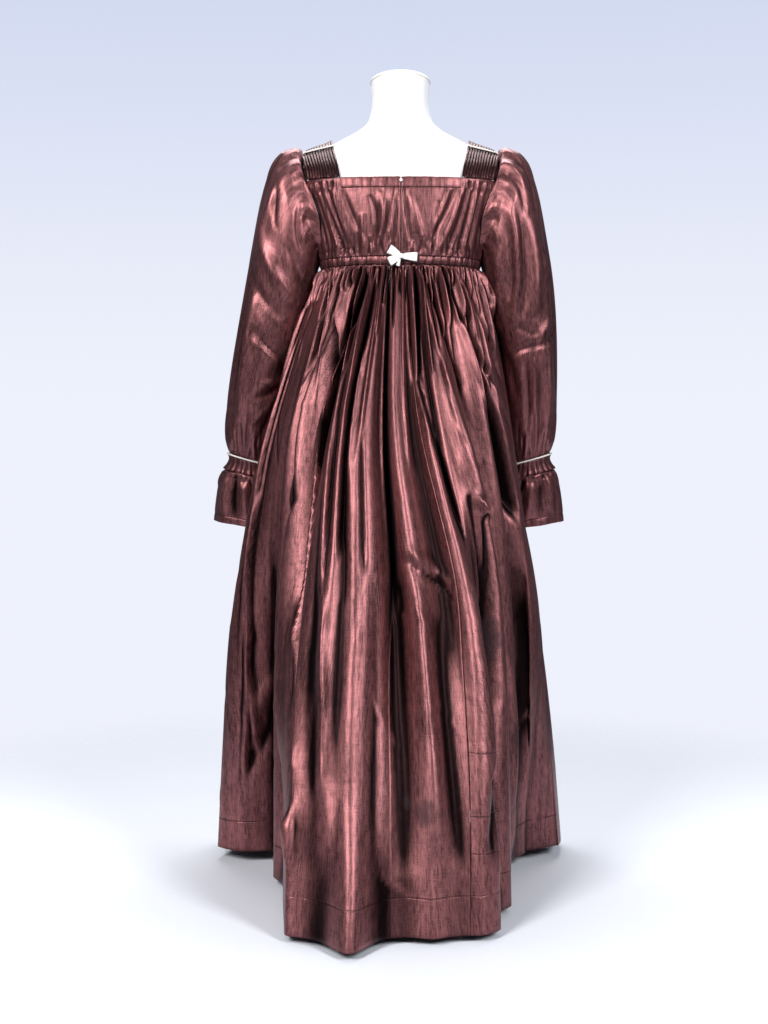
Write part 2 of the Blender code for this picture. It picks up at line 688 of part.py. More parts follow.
def make_skirt():
    for name, start, end, columns in (("skirt_side_left", SEAM_LEFT, SEAM_FRONT, 13),
                                      ("skirt_side_right", -SEAM_FRONT, SEAM_RIGHT, 25)):
        skirt_piece(name, np.linspace(start, end, columns), seam_edges(columns))
    front = np.concatenate([np.linspace(SEAM_FRONT, 0.4999, 9), np.linspace(-0.4999, -SEAM_FRONT, 9)[1:]])
    skirt_piece("skirt_front", front, seam_edges(len(front)))
    right = np.linspace(SEAM_RIGHT, -ALMOST, 7)
    left = np.linspace(ALMOST, SEAM_LEFT, 22)
    edge = np.concatenate([seam_edges(len(right)), seam_edges(len(left))])

    def open_back(i, j):
        return j == len(right) - 1 and SKIRT_ROWS[i + 1] > SLIT_END

    skirt_piece("skirt_back", np.concatenate([right, left]), edge, skip=open_back)


# ---------------------------------------------------------------- bow and button

def tape(name, path, across):
    """A flat strip of tape along a path; across is half its width as a vector."""
    path = np.array(path)
    grid = np.stack([path - across, path + across], axis=0)
    cloth(name, grid, finish="tape", wall=TAPE_WALL)


def loop_path(start, length, height, turn):
    """A drop-shaped loop out of the knot: length along the turned X axis, open by its height."""
    t = np.linspace(0.06, 0.94, 15)
    along = length * np.sin(math.pi * t) ** 0.8
    aside = height * np.sin(2 * math.pi * t)
    turn = math.radians(turn)
    x = start[0] + along * math.cos(turn)
    z = start[2] + along * math.sin(turn)
    return np.stack([x, start[1] + aside, z], axis=-1)


def make_bow():
    """A knot with three loops and a tail, standing off the waist casing."""
    face = smooth(WAIST, BODY["z"], BODY["back"]) + EASE + CLOTH
    middle = np.array([lean(WAIST), face + BOW_OUT, WAIST + BOW_UP])
    half = TAPE / 2
    for name, (length, height, turn) in LOOPS.items():
        angle = math.radians(turn)
        start = middle + np.array([math.cos(angle), 0.0, math.sin(angle)]) * LOOP_START
        across = np.array([-math.sin(angle), 0.0, math.cos(angle)]) * half
        tape(name, loop_path(start, length, height, turn), across)
    t = np.linspace(0, 1, 5)[:, None]
    foot = middle + np.array([0.002, -0.002, -0.65 * KNOT_SIZE[2]])
    tape("bow_tail", foot + t * TAIL_STEP, np.array([half * 0.7, 0.0, half * 0.25]))
    bpy.ops.mesh.primitive_cube_add(size=1.0)
    knot = bpy.context.object
    knot.scale = KNOT_SIZE
    bpy.ops.object.transform_apply(location=False, rotation=False, scale=True)
    round_edges(knot, KNOT_ROUND, 3)
    knot.location = middle
    finish_primitive(knot, "bow_knot", "tape")


def make_button():
    z = NECK_BACK - BUTTON_DOWN
    out = EASE + CLOTH + LAP + PLEAT / 2
    face = smooth(z, BODY["z"], BODY["back"]) + out
    bpy.ops.mesh.primitive_cylinder_add(vertices=16, radius=BUTTON_RADIUS, depth=BUTTON_HEIGHT)
    button = bpy.context.object
    button.rotation_euler = (math.pi / 2, 0.0, 0.0)
    button.location = (lean(z), face + GAP + BUTTON_HEIGHT / 2, z)
    finish_primitive(button, "neck_button", "tape")


def set_origin():
    """Move every piece so that the origin is the middle of the whole object's foot."""
    bpy.context.view_layer.update()
    graph = bpy.context.evaluated_depsgraph_get()
    corners = []
    pieces = list(bpy.data.collections[COLLECTION].objects)
    for piece in pieces:
        ready = piece.evaluated_get(graph)
        mesh = ready.to_mesh()
        points = np.array([ready.matrix_world @ vertex.co for vertex in mesh.vertices])
        corners += [points.min(axis=0), points.max(axis=0)]
        ready.to_mesh_clear()
    corners = np.array(corners)
    middle = (corners.min(axis=0) + corners.max(axis=0)) / 2
    for piece in pieces:
        piece.location.x -= middle[0]
        piece.location.y -= middle[1]


def main():
    for piece in list(bpy.data.objects):
        bpy.data.objects.remove(piece, do_unlink=True)
    collection = bpy.data.collections.new(COLLECTION)
    bpy.context.scene.collection.children.link(collection)
    make_neck_cap(make_torso())
    make_stand()
    for side, name in ((1, "bodice_back_left"), (-1, "bodice_back_right")):
        make_bodice_back(side, name)
    make_bodice_front()
    make_neck_bands()
    make_straps()
    make_waist_casing()
    make_sleeves()
    make_shoulder_piping()
    make_skirt()
    make_bow()
    make_button()
    set_origin()


main()
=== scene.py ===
"""Looks of a regency gown of shot silk, on its dress form.

Metres, +Z up. The gown faces -Y, its gathered back and its short train point to +Y, and its left
side is at +X. Shapes are worked out round the gown's own middle and moved onto the frame at the end.
"""
import math

import bmesh
import bpy
import numpy as np
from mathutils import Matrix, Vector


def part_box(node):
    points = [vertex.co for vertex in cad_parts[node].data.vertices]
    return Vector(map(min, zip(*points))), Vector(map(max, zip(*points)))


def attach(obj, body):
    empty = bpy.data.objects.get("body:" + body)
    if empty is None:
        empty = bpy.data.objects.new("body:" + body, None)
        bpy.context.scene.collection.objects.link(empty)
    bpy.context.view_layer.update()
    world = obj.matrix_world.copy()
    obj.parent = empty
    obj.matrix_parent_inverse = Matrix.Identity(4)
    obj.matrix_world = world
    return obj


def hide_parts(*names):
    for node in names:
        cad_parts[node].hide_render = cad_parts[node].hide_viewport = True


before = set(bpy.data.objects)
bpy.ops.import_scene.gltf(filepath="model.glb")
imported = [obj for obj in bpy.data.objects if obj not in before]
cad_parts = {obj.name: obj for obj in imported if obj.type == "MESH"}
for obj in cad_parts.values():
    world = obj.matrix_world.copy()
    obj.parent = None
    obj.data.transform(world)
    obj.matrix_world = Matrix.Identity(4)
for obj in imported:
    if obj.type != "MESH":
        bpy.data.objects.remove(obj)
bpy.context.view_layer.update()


# ---------------------------------------------------------------- dress form
# A limbless torso with a short slanting neck, moulded in one piece and sprayed matt white. A low
# domed cap closes the neck over a thin cream ring. The torso stands on a pole in a round base.

WAIST = 1.065               # middle of the high waist casing
LEAN = -0.019               # how far the upper gown stands to its right of the hem
TORSO_FOOT = 0.800
NECK_FOOT = 1.335           # above it the neck slants
NECK_TOP = 1.388
NECK_TILT = math.radians(6.6)
CAP_RADIUS = 0.052
CAP_LIP = 0.0025
CAP_DOME = 0.009
CAP_BEVEL = 0.0012
NECK_RING_RADIUS = 0.0011   # of its round section
NECK_RING_OUT = 0.0003      # past the cap
NECK_RING_DROP = 0.0006     # under the cap


def table(columns, *rows):
    """A short table as named columns."""
    return dict(zip(columns.split(), np.array(rows, dtype=float).T))


# Body of the form: half width, depth to the back and to the front, and how square its ring is
BODY = table(
    "z      half    back    front   square",
    (0.800, 0.1600, 0.1120, 0.1000, 2.2),
    (0.870, 0.1560, 0.1080, 0.1000, 2.2),
    (0.965, 0.1260, 0.0850, 0.0880, 2.2),
    (1.065, 0.1355, 0.0950, 0.1000, 2.2),
    (1.130, 0.1500, 0.1030, 0.1300, 2.3),
    (1.180, 0.1660, 0.1010, 0.1180, 2.6),
    (1.210, 0.1730, 0.0950, 0.0960, 2.8),
    (1.235, 0.1750, 0.0800, 0.0740, 2.8),
    (1.250, 0.1700, 0.0660, 0.0580, 2.6),
    (1.262, 0.1520, 0.0560, 0.0480, 2.4),
    (1.275, 0.1270, 0.0510, 0.0440, 2.2),
    (1.289, 0.1000, 0.0495, 0.0430, 2.1),
    (1.302, 0.0755, 0.0490, 0.0430, 2.0),
    (1.316, 0.0590, 0.0495, 0.0455, 2.0),
    (1.332, 0.0530, 0.0505, 0.0480, 2.0),
    (1.388, 0.0520, 0.0520, 0.0520, 2.0),
)


def hermite(t, first, first_slope, last, last_slope):
    """Cubic from first to last with the slopes given at both, at t from 0 to 1."""
    return ((2 * t**3 - 3 * t**2 + 1) * first + (t**3 - 2 * t**2 + t) * first_slope
            + (3 * t**2 - 2 * t**3) * last + (t**3 - t**2) * last_slope)


def smooth(x, places, values):
    """Cubic through the rows of a table, with slopes from the neighbours and flat past the ends."""
    if places[0] > places[-1]:
        places, values = places[::-1], values[::-1]
    x = np.clip(x, places[0], places[-1])
    slope = np.gradient(values, places)
    row = np.clip(np.searchsorted(places, x) - 1, 0, len(places) - 2)
    span = places[row + 1] - places[row]
    t = (x - places[row]) / span
    return hermite(t, values[row], span * slope[row], values[row + 1], span * slope[row + 1])


def body(column, z):
    """One column of the body's table at height z."""
    return smooth(z, BODY["z"], BODY[column])


def ramp(start, end, x):
    """Smooth step from 0 at start to 1 at end; start may be the higher value."""
    t = np.clip((x - start) / (end - start), 0.0, 1.0)
    return t * t * (3 - 2 * t)


def lean(z):
    """Sideways shift of the upper gown at a height: a smooth step from hip to bust."""
    return LEAN * ramp(0.70, 1.08, z)


def power(value, exponent):
    """Signed power."""
    return np.sign(value) * np.abs(value) ** exponent


def body_ring(phi, z, out):
    """Super-ellipse round the body at height z, moved out; phi runs from centre back by +X."""
    square = body("square", z)
    half = body("half", z) + out
    back = body("back", z) + out
    front = body("front", z) + out
    x = half * power(np.sin(phi), 2 / square)
    y = np.where(np.cos(phi) > 0, back, front) * power(np.cos(phi), 2 / square)
    return np.stack([x + lean(z), y, z + 0 * x], axis=-1)


pole_low, pole_high = (np.array(corner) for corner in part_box("form_pole"))
GOWN_MIDDLE = (pole_low + pole_high) / 2 - np.array([lean(WAIST), 0.0, 0.0])
GOWN_MIDDLE[2] = 0.0


def outward(grid, closed=False):
    """Unit normals of a grid: the cross product of its column and row directions."""
    if closed:
        wrapped = np.concatenate([grid[:, -2:-1], grid, grid[:, 1:2]], axis=1)
        along = (wrapped[:, 2:] - wrapped[:, :-2])
    else:
        along = np.gradient(grid, axis=1)
    normal = np.cross(along, np.gradient(grid, axis=0))
    return normal / np.maximum(np.linalg.norm(normal, axis=2), 1e-9)[..., None]


def hollows(grid, reach, depth):
    """How far each point lies inside the mean of its neighbours in the row, as a share of depth."""
    columns = grid.shape[1]
    reach = min(reach, columns - 1)
    padded = np.pad(grid, ((0, 0), (reach + 1, reach), (0, 0)), mode="reflect", reflect_type="odd")
    total = np.cumsum(padded, axis=1)
    mean = (total[:, 2 * reach + 1:] - total[:, :-2 * reach - 1]) / (2 * reach + 1)
    return np.clip(((mean - grid) * outward(grid)).sum(axis=-1) / depth, 0.0, 1.0)


# Painted shade of folds and gathers: a hollow of the full depth below gets the full shade.
NEAR_HOLLOW = (3, 0.0014)    # columns to each side, and full depth, of a hollow in small gathers
FAR_HOLLOW = (12, 0.0085)    # and of one between folds


def surface(name, grid, across=None, down=None, joined=False, wall=0.0, shade=1.0, dark=0.0):
    """Mesh through a grid of points, rows downwards and columns so that the faces look outwards.

    across and down are the cloth's own measures in metres, kept as the UV map "cloth". joined welds
    points that coincide, at a seam or a pole. wall gives a thickness inwards from the grid. A point
    attribute holds painted shade for the folds: how deep a point lies in a fold or a gather, times
    shade, with the painted shade in dark added.
    """
    rows, columns = grid.shape[:2]
    i = np.arange(rows - 1)[:, None]
    j = np.arange(columns - 1)[None, :]
    faces = np.stack([i * columns + j, i * columns + j + 1,
                      (i + 1) * columns + j + 1, (i + 1) * columns + j], axis=-1).reshape(-1, 4)
    mesh = bpy.data.meshes.new(name)
    mesh.from_pydata((grid + GOWN_MIDDLE).reshape(-1, 3).tolist(), [], faces.tolist())
    if across is None:
        across, down = np.meshgrid(np.linspace(0, 1, columns), np.linspace(0, 1, rows))
    flat = np.stack([across, down], axis=-1).reshape(-1, 2)
    mesh.uv_layers.new(name="cloth").data.foreach_set("uv", flat[faces.ravel()].ravel())
    # Painted shade: the deeper a point lies in a fold or a gather, the darker its colour is made.
    hollow = shade * (hollows(grid, *NEAR_HOLLOW) + hollows(grid, *FAR_HOLLOW)) + dark
    hollow = np.clip(hollow, 0.0, 1.0)
    mesh.attributes.new("hollow", "FLOAT", "POINT").data.foreach_set("value", hollow.ravel())
    mesh.shade_smooth()
    piece = bpy.data.objects.new(name, mesh)
    bpy.context.scene.collection.objects.link(piece)
    if joined:
        weld(mesh)
    if wall:
        thicken(piece, wall)
    return piece


def thicken(piece, wall):
    """Give a piece its wall, inwards from its faces."""
    solidify = piece.modifiers.new("wall", "SOLIDIFY")
    solidify.thickness = wall
    solidify.offset = -1.0


def weld(mesh):
    """Join the points that coincide and drop the faces that shrink to nothing."""
    work = bmesh.new()
    work.from_mesh(mesh)
    bmesh.ops.remove_doubles(work, verts=work.verts, dist=1e-6)
    bmesh.ops.dissolve_degenerate(work, edges=work.edges, dist=1e-7)
    work.to_mesh(mesh)
    work.free()


def place(piece, slot, finish, *nodes):
    """Give a piece its finish, let it ride on the frame and stand for its nodes. slot is not used."""
    piece.data.materials.append(finish)
    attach(piece, "root")
    if nodes:
        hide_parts(*nodes)
    return piece


class Value:
    """A value socket of a finish; sums, products and powers of values add Math nodes to it."""

    def __init__(self, finish, socket):
        self.finish = finish
        self.socket = socket

    def math(self, operation, first, second):
        """Add one Math node and take its result as a Value."""
        made = self.finish.node("Math", {"operation": operation}, {0: first, 1: second})
        return Value(self.finish, made.outputs[0])

    def __add__(self, other):
        return self.math("ADD", self, other)

    def __sub__(self, other):
        return self.math("SUBTRACT", self, other)

    def __rsub__(self, other):
        return self.math("SUBTRACT", other, self)

    def __mul__(self, other):
        return self.math("MULTIPLY", self, other)

    def __pow__(self, other):
        return self.math("POWER", self, other)

    def __abs__(self):
        return self.math("ABSOLUTE", self, 0.0)

    __radd__ = __add__
    __rmul__ = __mul__


class Finish:
    """A material with one Principled shader, whose sockets take numbers, colours or Values."""

    def __init__(self, name, fixed):
        self.material = bpy.data.materials.new(name)
        self.material.use_nodes = True
        self.tree = self.material.node_tree
        self.shader = self.tree.nodes["Principled BSDF"]
        for socket, value in fixed.items():
            self.shader.inputs[socket].default_value = value

    def node(self, kind, settings=None, inputs=None):
        """Add a node of a kind, apply its settings, then fill or link its sockets."""
        made = self.tree.nodes.new("ShaderNode" + kind)
        for key, value in (settings or {}).items():
            setattr(made, key, value)
        for key, value in (inputs or {}).items():
            self.fill(made.inputs[key], value)
        return made

    def fill(self, socket, value):
        """Put a number or colour into a socket, or link a Value or another socket to it."""
        if isinstance(value, Value):
            value = value.socket
        if isinstance(value, bpy.types.NodeSocket):
            self.tree.links.new(value, socket)
        else:
            socket.default_value = value

    def noise(self, vector, scale, stretch=(1, 1, 1), detail=2.0, wander=0.0):
        """Noise from 0 to 1 in a vector stretched along its axes."""
        mapped = self.node("Mapping", None, {"Vector": vector, "Scale": stretch})
        made = self.node("TexNoise", None, {"Vector": mapped.outputs[0], "Scale": scale,
                                            "Detail": detail, "Distortion": wander})
        return Value(self, made.outputs[0])

    def voronoi_edge(self, vector, scale, reach):
        """Straight-sided cells: 0 at a cell's edge, rising to 1 at reach from it."""
        made = self.node("TexVoronoi", {"feature": "DISTANCE_TO_EDGE"},
                         {"Vector": vector, "Scale": scale})
        return self.step(made.outputs["Distance"], 0.0, reach)

    def step(self, value, low, high):
        """0 where the value is at low, 1 where it is at high, smooth between."""
        made = self.node("MapRange", {"interpolation_type": "SMOOTHSTEP"},
                         {0: value, 1: low, 2: high})
        return Value(self, made.outputs[0])

    def mix(self, share, first, second):
        """First colour where share is 0, second where it is 1."""
        made = self.node("Mix", {"data_type": "RGBA"}, {0: share, 6: first, 7: second})
        return made.outputs[2]

    def relief(self, height, strength, distance):
        """Bump of a height, at most distance metres deep."""
        made = self.node("Bump", None, {"Height": height, "Strength": strength,
                                        "Distance": distance})
        self.fill(self.shader.inputs["Normal"], made.outputs[0])

    def attribute(self, name):
        """A mesh attribute as a Value."""
        return Value(self, self.node("Attribute", {"attribute_name": name}).outputs["Fac"])

    def coordinates(self):
        """The object's own coordinates, and the cloth's own measures as a vector."""
        here = self.node("TexCoord").outputs["Object"]
        return here, self.node("UVMap", {"uv_map": "cloth"}).outputs[0]


def form_white():
    """Sprayed white: a faint unevenness of colour and an orange-peel relief."""
    finish = Finish("form_white", {"Specular IOR Level": 0.35})
    here, _ = finish.coordinates()
    cloud = finish.noise(here, 14.0, detail=3.0)
    grain = finish.noise(here, 900.0)
    colour = finish.mix(cloud, (0.86, 0.86, 0.865, 1), (0.92, 0.92, 0.925, 1))
    finish.fill(finish.shader.inputs["Base Color"], colour)
    finish.fill(finish.shader.inputs["Roughness"], 0.5 + 0.15 * grain)
    finish.relief(grain, 0.12, 0.0004)
    return finish.material


def ring_cream():
    """Cream rubber of the ring under the cap, a little uneven."""
    finish = Finish("ring_cream", {"Roughness": 0.55})
    here, _ = finish.coordinates()
    cloud = finish.noise(here, 160.0)
    finish.fill(finish.shader.inputs["Base Color"],
                finish.mix(cloud, (0.66, 0.60, 0.50, 1), (0.78, 0.73, 0.64, 1)))
    return finish.material


def torso_grid():
    """Body rings from the slanting neck down to the foot, then a flat foot drawn in to its middle."""
    z = np.concatenate([np.linspace(NECK_TOP, 1.24, 44), np.linspace(1.236, TORSO_FOOT, 34)])
    phi = np.linspace(0, 2 * math.pi, 97)
    rings = body_ring(phi[None, :], z[:, None], 0.0)
    rings[..., 2] += ramp(NECK_FOOT, NECK_TOP, z)[:, None] * rings[..., 1] * math.tan(NECK_TILT)
    foot = rings[-1].mean(axis=0)
    ending = foot + (rings[-1] - foot) * np.array([0.96, 0.5, 0.0])[:, None, None]
    return np.concatenate([rings, ending])


def turned(profile, columns=73):
    """A profile of radius and height, carried round the vertical axis."""
    phi = np.linspace(0, 2 * math.pi, columns)
    radius, height = np.array(profile).T
    return np.stack([radius[:, None] * np.sin(phi), radius[:, None] * np.cos(phi),
                     height[:, None] + 0 * phi], axis=-1)


def tilted(points, middle):
    """Points turned by the neck's slant about X and moved to a middle."""
    x, y, z = np.moveaxis(points, -1, 0)
    cosine, sine = math.cos(NECK_TILT), math.sin(NECK_TILT)
    return np.stack([x, y * cosine - z * sine, y * sine + z * cosine], axis=-1) + middle


CORD_SIDES = 12


def cord_grid(points, radius, closed):
    """A round cord: a circle carried along a path, square to it. Its path turns slowly."""
    points = np.array(points)
    if closed:
        around = np.concatenate([points[-2:-1], points, points[1:2]])
        ahead = (around[2:] - around[:-2])
    else:
        ahead = np.gradient(points, axis=0)
    ahead /= np.linalg.norm(ahead, axis=1)[:, None]
    first = np.cross(ahead, np.array([0.0, 0.0, 1.0]))
    first /= np.linalg.norm(first, axis=1)[:, None]
    second = np.cross(first, ahead)
    turn = np.linspace(0, 2 * math.pi, CORD_SIDES + 1)[None, :, None]
    circle = first[:, None] * np.cos(turn) + second[:, None] * np.sin(turn)
    return points[:, None] + radius * circle


white = form_white()
place(surface("torso", torso_grid(), joined=True), "form", white, "form_torso")
neck_top = np.array([lean(NECK_TOP), 0.0, NECK_TOP])
quarter = np.radians(np.linspace(90, 0, 14))
dome = [(CAP_RADIUS * math.cos(a), CAP_LIP + CAP_DOME * math.sin(a)) for a in quarter]
cap = turned(dome + [(CAP_RADIUS, CAP_BEVEL / 3), (CAP_RADIUS - CAP_BEVEL, 0.0), (0.0, 0.0)])
place(surface("neck_cap", tilted(cap, neck_top), joined=True), "form", white, "form_neck_cap")
angle = np.linspace(0, 2 * math.pi, 97)
ring_radius = CAP_RADIUS + NECK_RING_OUT
ring_path = tilted(np.stack([ring_radius * np.sin(angle), ring_radius * np.cos(angle),
                             0 * angle - NECK_RING_DROP], axis=-1), neck_top)
neck_ring = surface("neck_ring", cord_grid(ring_path, NECK_RING_RADIUS, True), joined=True)
place(neck_ring, "form", ring_cream())


def stand_metal():
    """Satin grey enamel on steel, with a fine unevenness of wear."""
    finish = Finish("stand_enamel", {"Specular IOR Level": 0.5})
    here, _ = finish.coordinates()
    fine = finish.noise(here, 240.0, detail=4.0)
    cloud = finish.noise(here, 9.0)
    finish.fill(finish.shader.inputs["Base Color"],
                finish.mix(cloud, (0.56, 0.57, 0.60, 1), (0.68, 0.69, 0.72, 1)))
    finish.fill(finish.shader.inputs["Metallic"], 0.35 + 0.2 * fine)
    finish.fill(finish.shader.inputs["Roughness"], 0.32 + 0.16 * fine)
    finish.relief(fine, 0.1, 0.0003)
    return finish.material


stand = stand_metal()
for node in ("form_pole", "form_base"):
    bpy.data.objects[node].material_slots[0].material = stand


# ---------------------------------------------------------------- silk
# Changeable taffeta, woven with a dark brown warp and a copper-red weft, crisp and creased from
# storage. It shines salmon along a fold, and shade painted into its colour takes the valleys near black.

WALL = 0.0006               # two layers of cloth with the air between them
CLOTH_OUT = 0.006           # outer face of the bodice, off the form
GAP = 0.0006                # between neighbours at a seam

BROWN = (0.021, 0.0080, 0.0090, 1)
COPPER = (0.350, 0.134, 0.136, 1)
# Painted shade: the near-black that hollows of folds and gathers are coloured towards, and a whole piece
# too by its deep.
SHADE_COLOUR = (0.0022, 0.0008, 0.0011, 1)
STAIN = (0.030, 0.021, 0.024, 1)
DEEPEST_SHADE = 0.97                 # how near the painted shade of the deepest hollow comes to the shade colour
STAINED = 0.62              # how near a mark comes to STAIN
LINE_HALF = 0.0018          # half width of a pressed or sewn line


def silk(name, marks=(), lines=(), deep=0.0):
    """Taffeta in the cloth's own measures: warp streaks, weft slubs and a web of fine creases.

    marks are stains as (across, down, half width, half height); lines are pressed or sewn lines
    as (down, from across, to across). Both are in metres of cloth. deep paints shade over the whole
    piece, and the colour also takes painted shade in the hollows of folds and gathers.
    """
    finish = Finish(name, {"Specular IOR Level": 0.45, "Sheen Weight": 0.02,
                           "Sheen Roughness": 0.4, "Sheen Tint": (0.75, 0.62, 0.72, 1)})
    here, cloth = finish.coordinates()
    warp = finish.noise(cloth, 1.0, (420, 60, 1), 3.0, 0.4)
    streak = finish.noise(cloth, 1.0, (90, 7, 1), 2.0, 0.4)
    slub = finish.noise(cloth, 1.0, (40, 620, 1), 2.0, 0.3)
    grain = finish.noise(cloth, 1.0, (900, 700, 1), 1.0)
    cloud = finish.noise(here, 5.0, detail=2.0)
    crush = finish.noise(here, 26.0, detail=3.0)
    crease = finish.voronoi_edge(here, 11.0, 0.16)
    wrinkle = finish.voronoi_edge(here, 38.0, 0.20)
    tone = 0.34 * warp + 0.24 * streak + 0.12 * slub + 0.36 * grain + 0.12 * cloud
    colour = finish.mix(finish.step(tone, 0.40, 0.78), BROWN, COPPER)
    height = 0.22 * warp + 0.16 * streak + 0.10 * slub + 0.14 * grain + 0.50 * crush
    height = height + 0.30 * crease * finish.step(cloud, 0.42, 0.62) + 0.16 * wrinkle
    # Painted shade: towards near-black in the hollows of folds and gathers, from the mesh's fold shade, and
    # over the whole piece by deep.
    painted_shade = finish.attribute("hollow")
    colour = finish.mix(1.0 - (1.0 - DEEPEST_SHADE * painted_shade) * (1.0 - deep), colour, SHADE_COLOUR)
    metal = 0.80 + 0.10 * slub + 0.10 * painted_shade
    rough = 0.36 + 0.10 * warp + 0.06 * grain
    across, down = split(finish, cloth)
    for middle_across, middle_down, wide, high in marks:
        far = (((across - middle_across) * (1 / wide)) ** 2.0
               + ((down - middle_down) * (1 / high)) ** 2.0)
        mark = 1.0 - finish.step(far + 1.8 * crush + 0.9 * streak, 1.3, 2.1)
        colour = finish.mix(mark * STAINED, colour, STAIN)
        rough = rough + 0.15 * mark
    for level, start, end in lines:
        wobble = down + 0.008 * cloud
        dip = 1.0 - finish.step(abs(wobble - level - 0.004), 0.0004, LINE_HALF)
        dip = dip * finish.step(across, start - 0.004, start) * finish.step(across, end + 0.004, end)
        dip = dip * finish.step(crush, 0.30, 0.55)
        height = height - 1.6 * dip
        colour = finish.mix(dip * 0.6, colour, BROWN)
    finish.fill(finish.shader.inputs["Base Color"], colour)
    finish.fill(finish.shader.inputs["Metallic"], metal)
    finish.fill(finish.shader.inputs["Roughness"], rough)
    finish.relief(height, 0.5, 0.0011)
    return finish.material


def split(finish, vector):
    """A vector's first two parts as Values."""
    parts = finish.node("SeparateXYZ", None, {0: vector}).outputs
    return Value(finish, parts[0]), Value(finish, parts[1])


def creased(across, down, creases, period=None):
    """Height of soft creases, each a line between two points of the cloth.

    A crease dips (or stands) by its depth across its line as a bell of its width, fades to nothing
    at both ends, and may bow sideways. period is the cloth's girth where it closes on itself.
    """
    height = 0.0 * across
    for start, top, end, foot, bow, wide, depth in zip(*creases.values()):
        from_start = across - start
        if period:
            from_start = (from_start + period / 2) % period - period / 2
        run, fall = end - start, foot - top
        length = math.hypot(run, fall)
        t = np.clip((from_start * run + (down - top) * fall) / length**2, 0.0, 1.0)
        aside = (from_start * fall - (down - top) * run) / length - bow * 4 * t * (1 - t)
        beyond = np.hypot(from_start - t * run, down - top - t * fall)
        away = np.where((t > 0) & (t < 1), np.abs(aside), beyond)
        taper = np.clip(4.5 * t * (1 - t), 0.0, 1.0) ** 0.7
        height += depth * taper * np.exp(-(away / wide) ** 2)
    return height


CREASE = "start top end foot bow wide depth"


def small_creases(seed, count, span, top, reach, slant, wide, depth):
    """Small gathers, spaced evenly and then each moved, slanted, lengthened and deepened a little.

    span, reach, wide and depth are from-to pairs; top is where they all start.
    """
    chance = np.random.default_rng(seed)
    start = np.linspace(*span, count) + chance.uniform(-0.35, 0.35, count) * (span[1] - span[0]) / count
    fall = reach[0] + (reach[1] - reach[0]) * chance.random(count) ** 1.8
    sign = np.where(chance.random(count) < 0.62, -1.0, 1.0)
    return dict(zip(CREASE.split(), (
        start, top + 0 * start, start + chance.normal(0, slant, count), top + fall,
        chance.normal(0, 0.0012, count), chance.uniform(*wide, count),
        sign * chance.uniform(*depth, count))))


# Painted shade: deep darkens this silk a little all over.
bodice_silk = silk("silk_bodice", deep=0.10)


# ---------------------------------------------------------------- bodice
# Two backs, open at centre back, and one front. The silk is set smooth under the neckline band and
# fans in soft pleats from the shoulder seams to the waist, where the drawstring bunches it.

NECK_BACK = 1.206
NECK_FRONT = 1.165
BAND = 0.018
CASING = 0.014
ARM_Z = 1.1690
ARM_HIGH = 0.0845
ARM_DEEP = 0.0620
BODICE_LIFT = 0.0008        # of the silk off the form's ring, under its pleats
FRONT_WIDTH = 0.36          # of the front's own measure
HALVES = ((1, "left"), (-1, "right"))
BODICE_FOOT = WAIST + CASING / 2 + GAP

# Fanning pleats of the gown's left back and right back: across from centre back, down from the edge
BACK_LEFT = table(
    CREASE,
    (0.144, 0.012, 0.096, 0.132, 0.004, 0.0046, -0.0046),
    (0.167, 0.010, 0.138, 0.130, 0.000, 0.0050, -0.0050),
    (0.130, 0.014, 0.081, 0.130, 0.004, 0.0042, -0.0040),
    (0.154, 0.016, 0.122, 0.130, 0.002, 0.0040, -0.0036),
    (0.100, 0.020, 0.072, 0.090, 0.002, 0.0050, -0.0028),
    (0.052, 0.030, 0.050, 0.118, -0.010, 0.0052, -0.0046),
    (0.034, 0.024, 0.042, 0.128, -0.006, 0.0050, 0.0040),
    (0.010, 0.014, 0.036, 0.132, -0.002, 0.0042, -0.0034),
    (0.026, 0.014, 0.028, 0.132, 0.000, 0.0040, 0.0030),
    (0.118, 0.016, 0.088, 0.120, 0.004, 0.0044, 0.0036),
    (0.139, 0.020, 0.108, 0.126, 0.003, 0.0036, 0.0034),
    (0.066, 0.060, 0.062, 0.130, 0.001, 0.0046, 0.0030),
    (0.006, 0.030, 0.014, 0.130, -0.001, 0.0034, -0.0040),
)
BACK_RIGHT = table(
    CREASE,
    (0.096, 0.012, 0.030, 0.130, 0.006, 0.0052, -0.0042),
    (0.082, 0.016, 0.040, 0.120, 0.005, 0.0046, 0.0040),
    (0.116, 0.012, 0.078, 0.132, 0.004, 0.0042, -0.0044),
    (0.128, 0.012, 0.102, 0.130, 0.002, 0.0040, -0.0042),
    (0.142, 0.012, 0.122, 0.130, 0.002, 0.0044, -0.0046),
    (0.156, 0.014, 0.146, 0.130, 0.001, 0.0040, -0.0038),
    (0.106, 0.016, 0.062, 0.128, 0.005, 0.0044, 0.0038),
    (0.004, 0.012, 0.019, 0.120, -0.001, 0.0038, -0.0036),
    (0.016, 0.030, 0.046, 0.124, -0.003, 0.0048, 0.0026),
    (0.064, 0.040, 0.054, 0.132, 0.003, 0.0046, -0.0030),
    (0.135, 0.020, 0.112, 0.124, 0.002, 0.0036, 0.0034),
)
FRONT_PLEATS = small_creases(3, 46, (-0.17, 0.17), 0.020, (0.03, 0.085), 0.006,
                             (0.0030, 0.0052), (0.0016, 0.0036))
WAIST_PUCKERS = small_creases(5, 34, (0.0, 0.17), 0.134, (-0.040, -0.014), 0.004,
                              (0.0018, 0.0030), (0.0012, 0.0026))
YOKE_PUCKERS = small_creases(7, 15, (0.086, 0.17), 0.004, (0.014, 0.040), 0.003,
                             (0.0018, 0.0030), (0.0012, 0.0026))


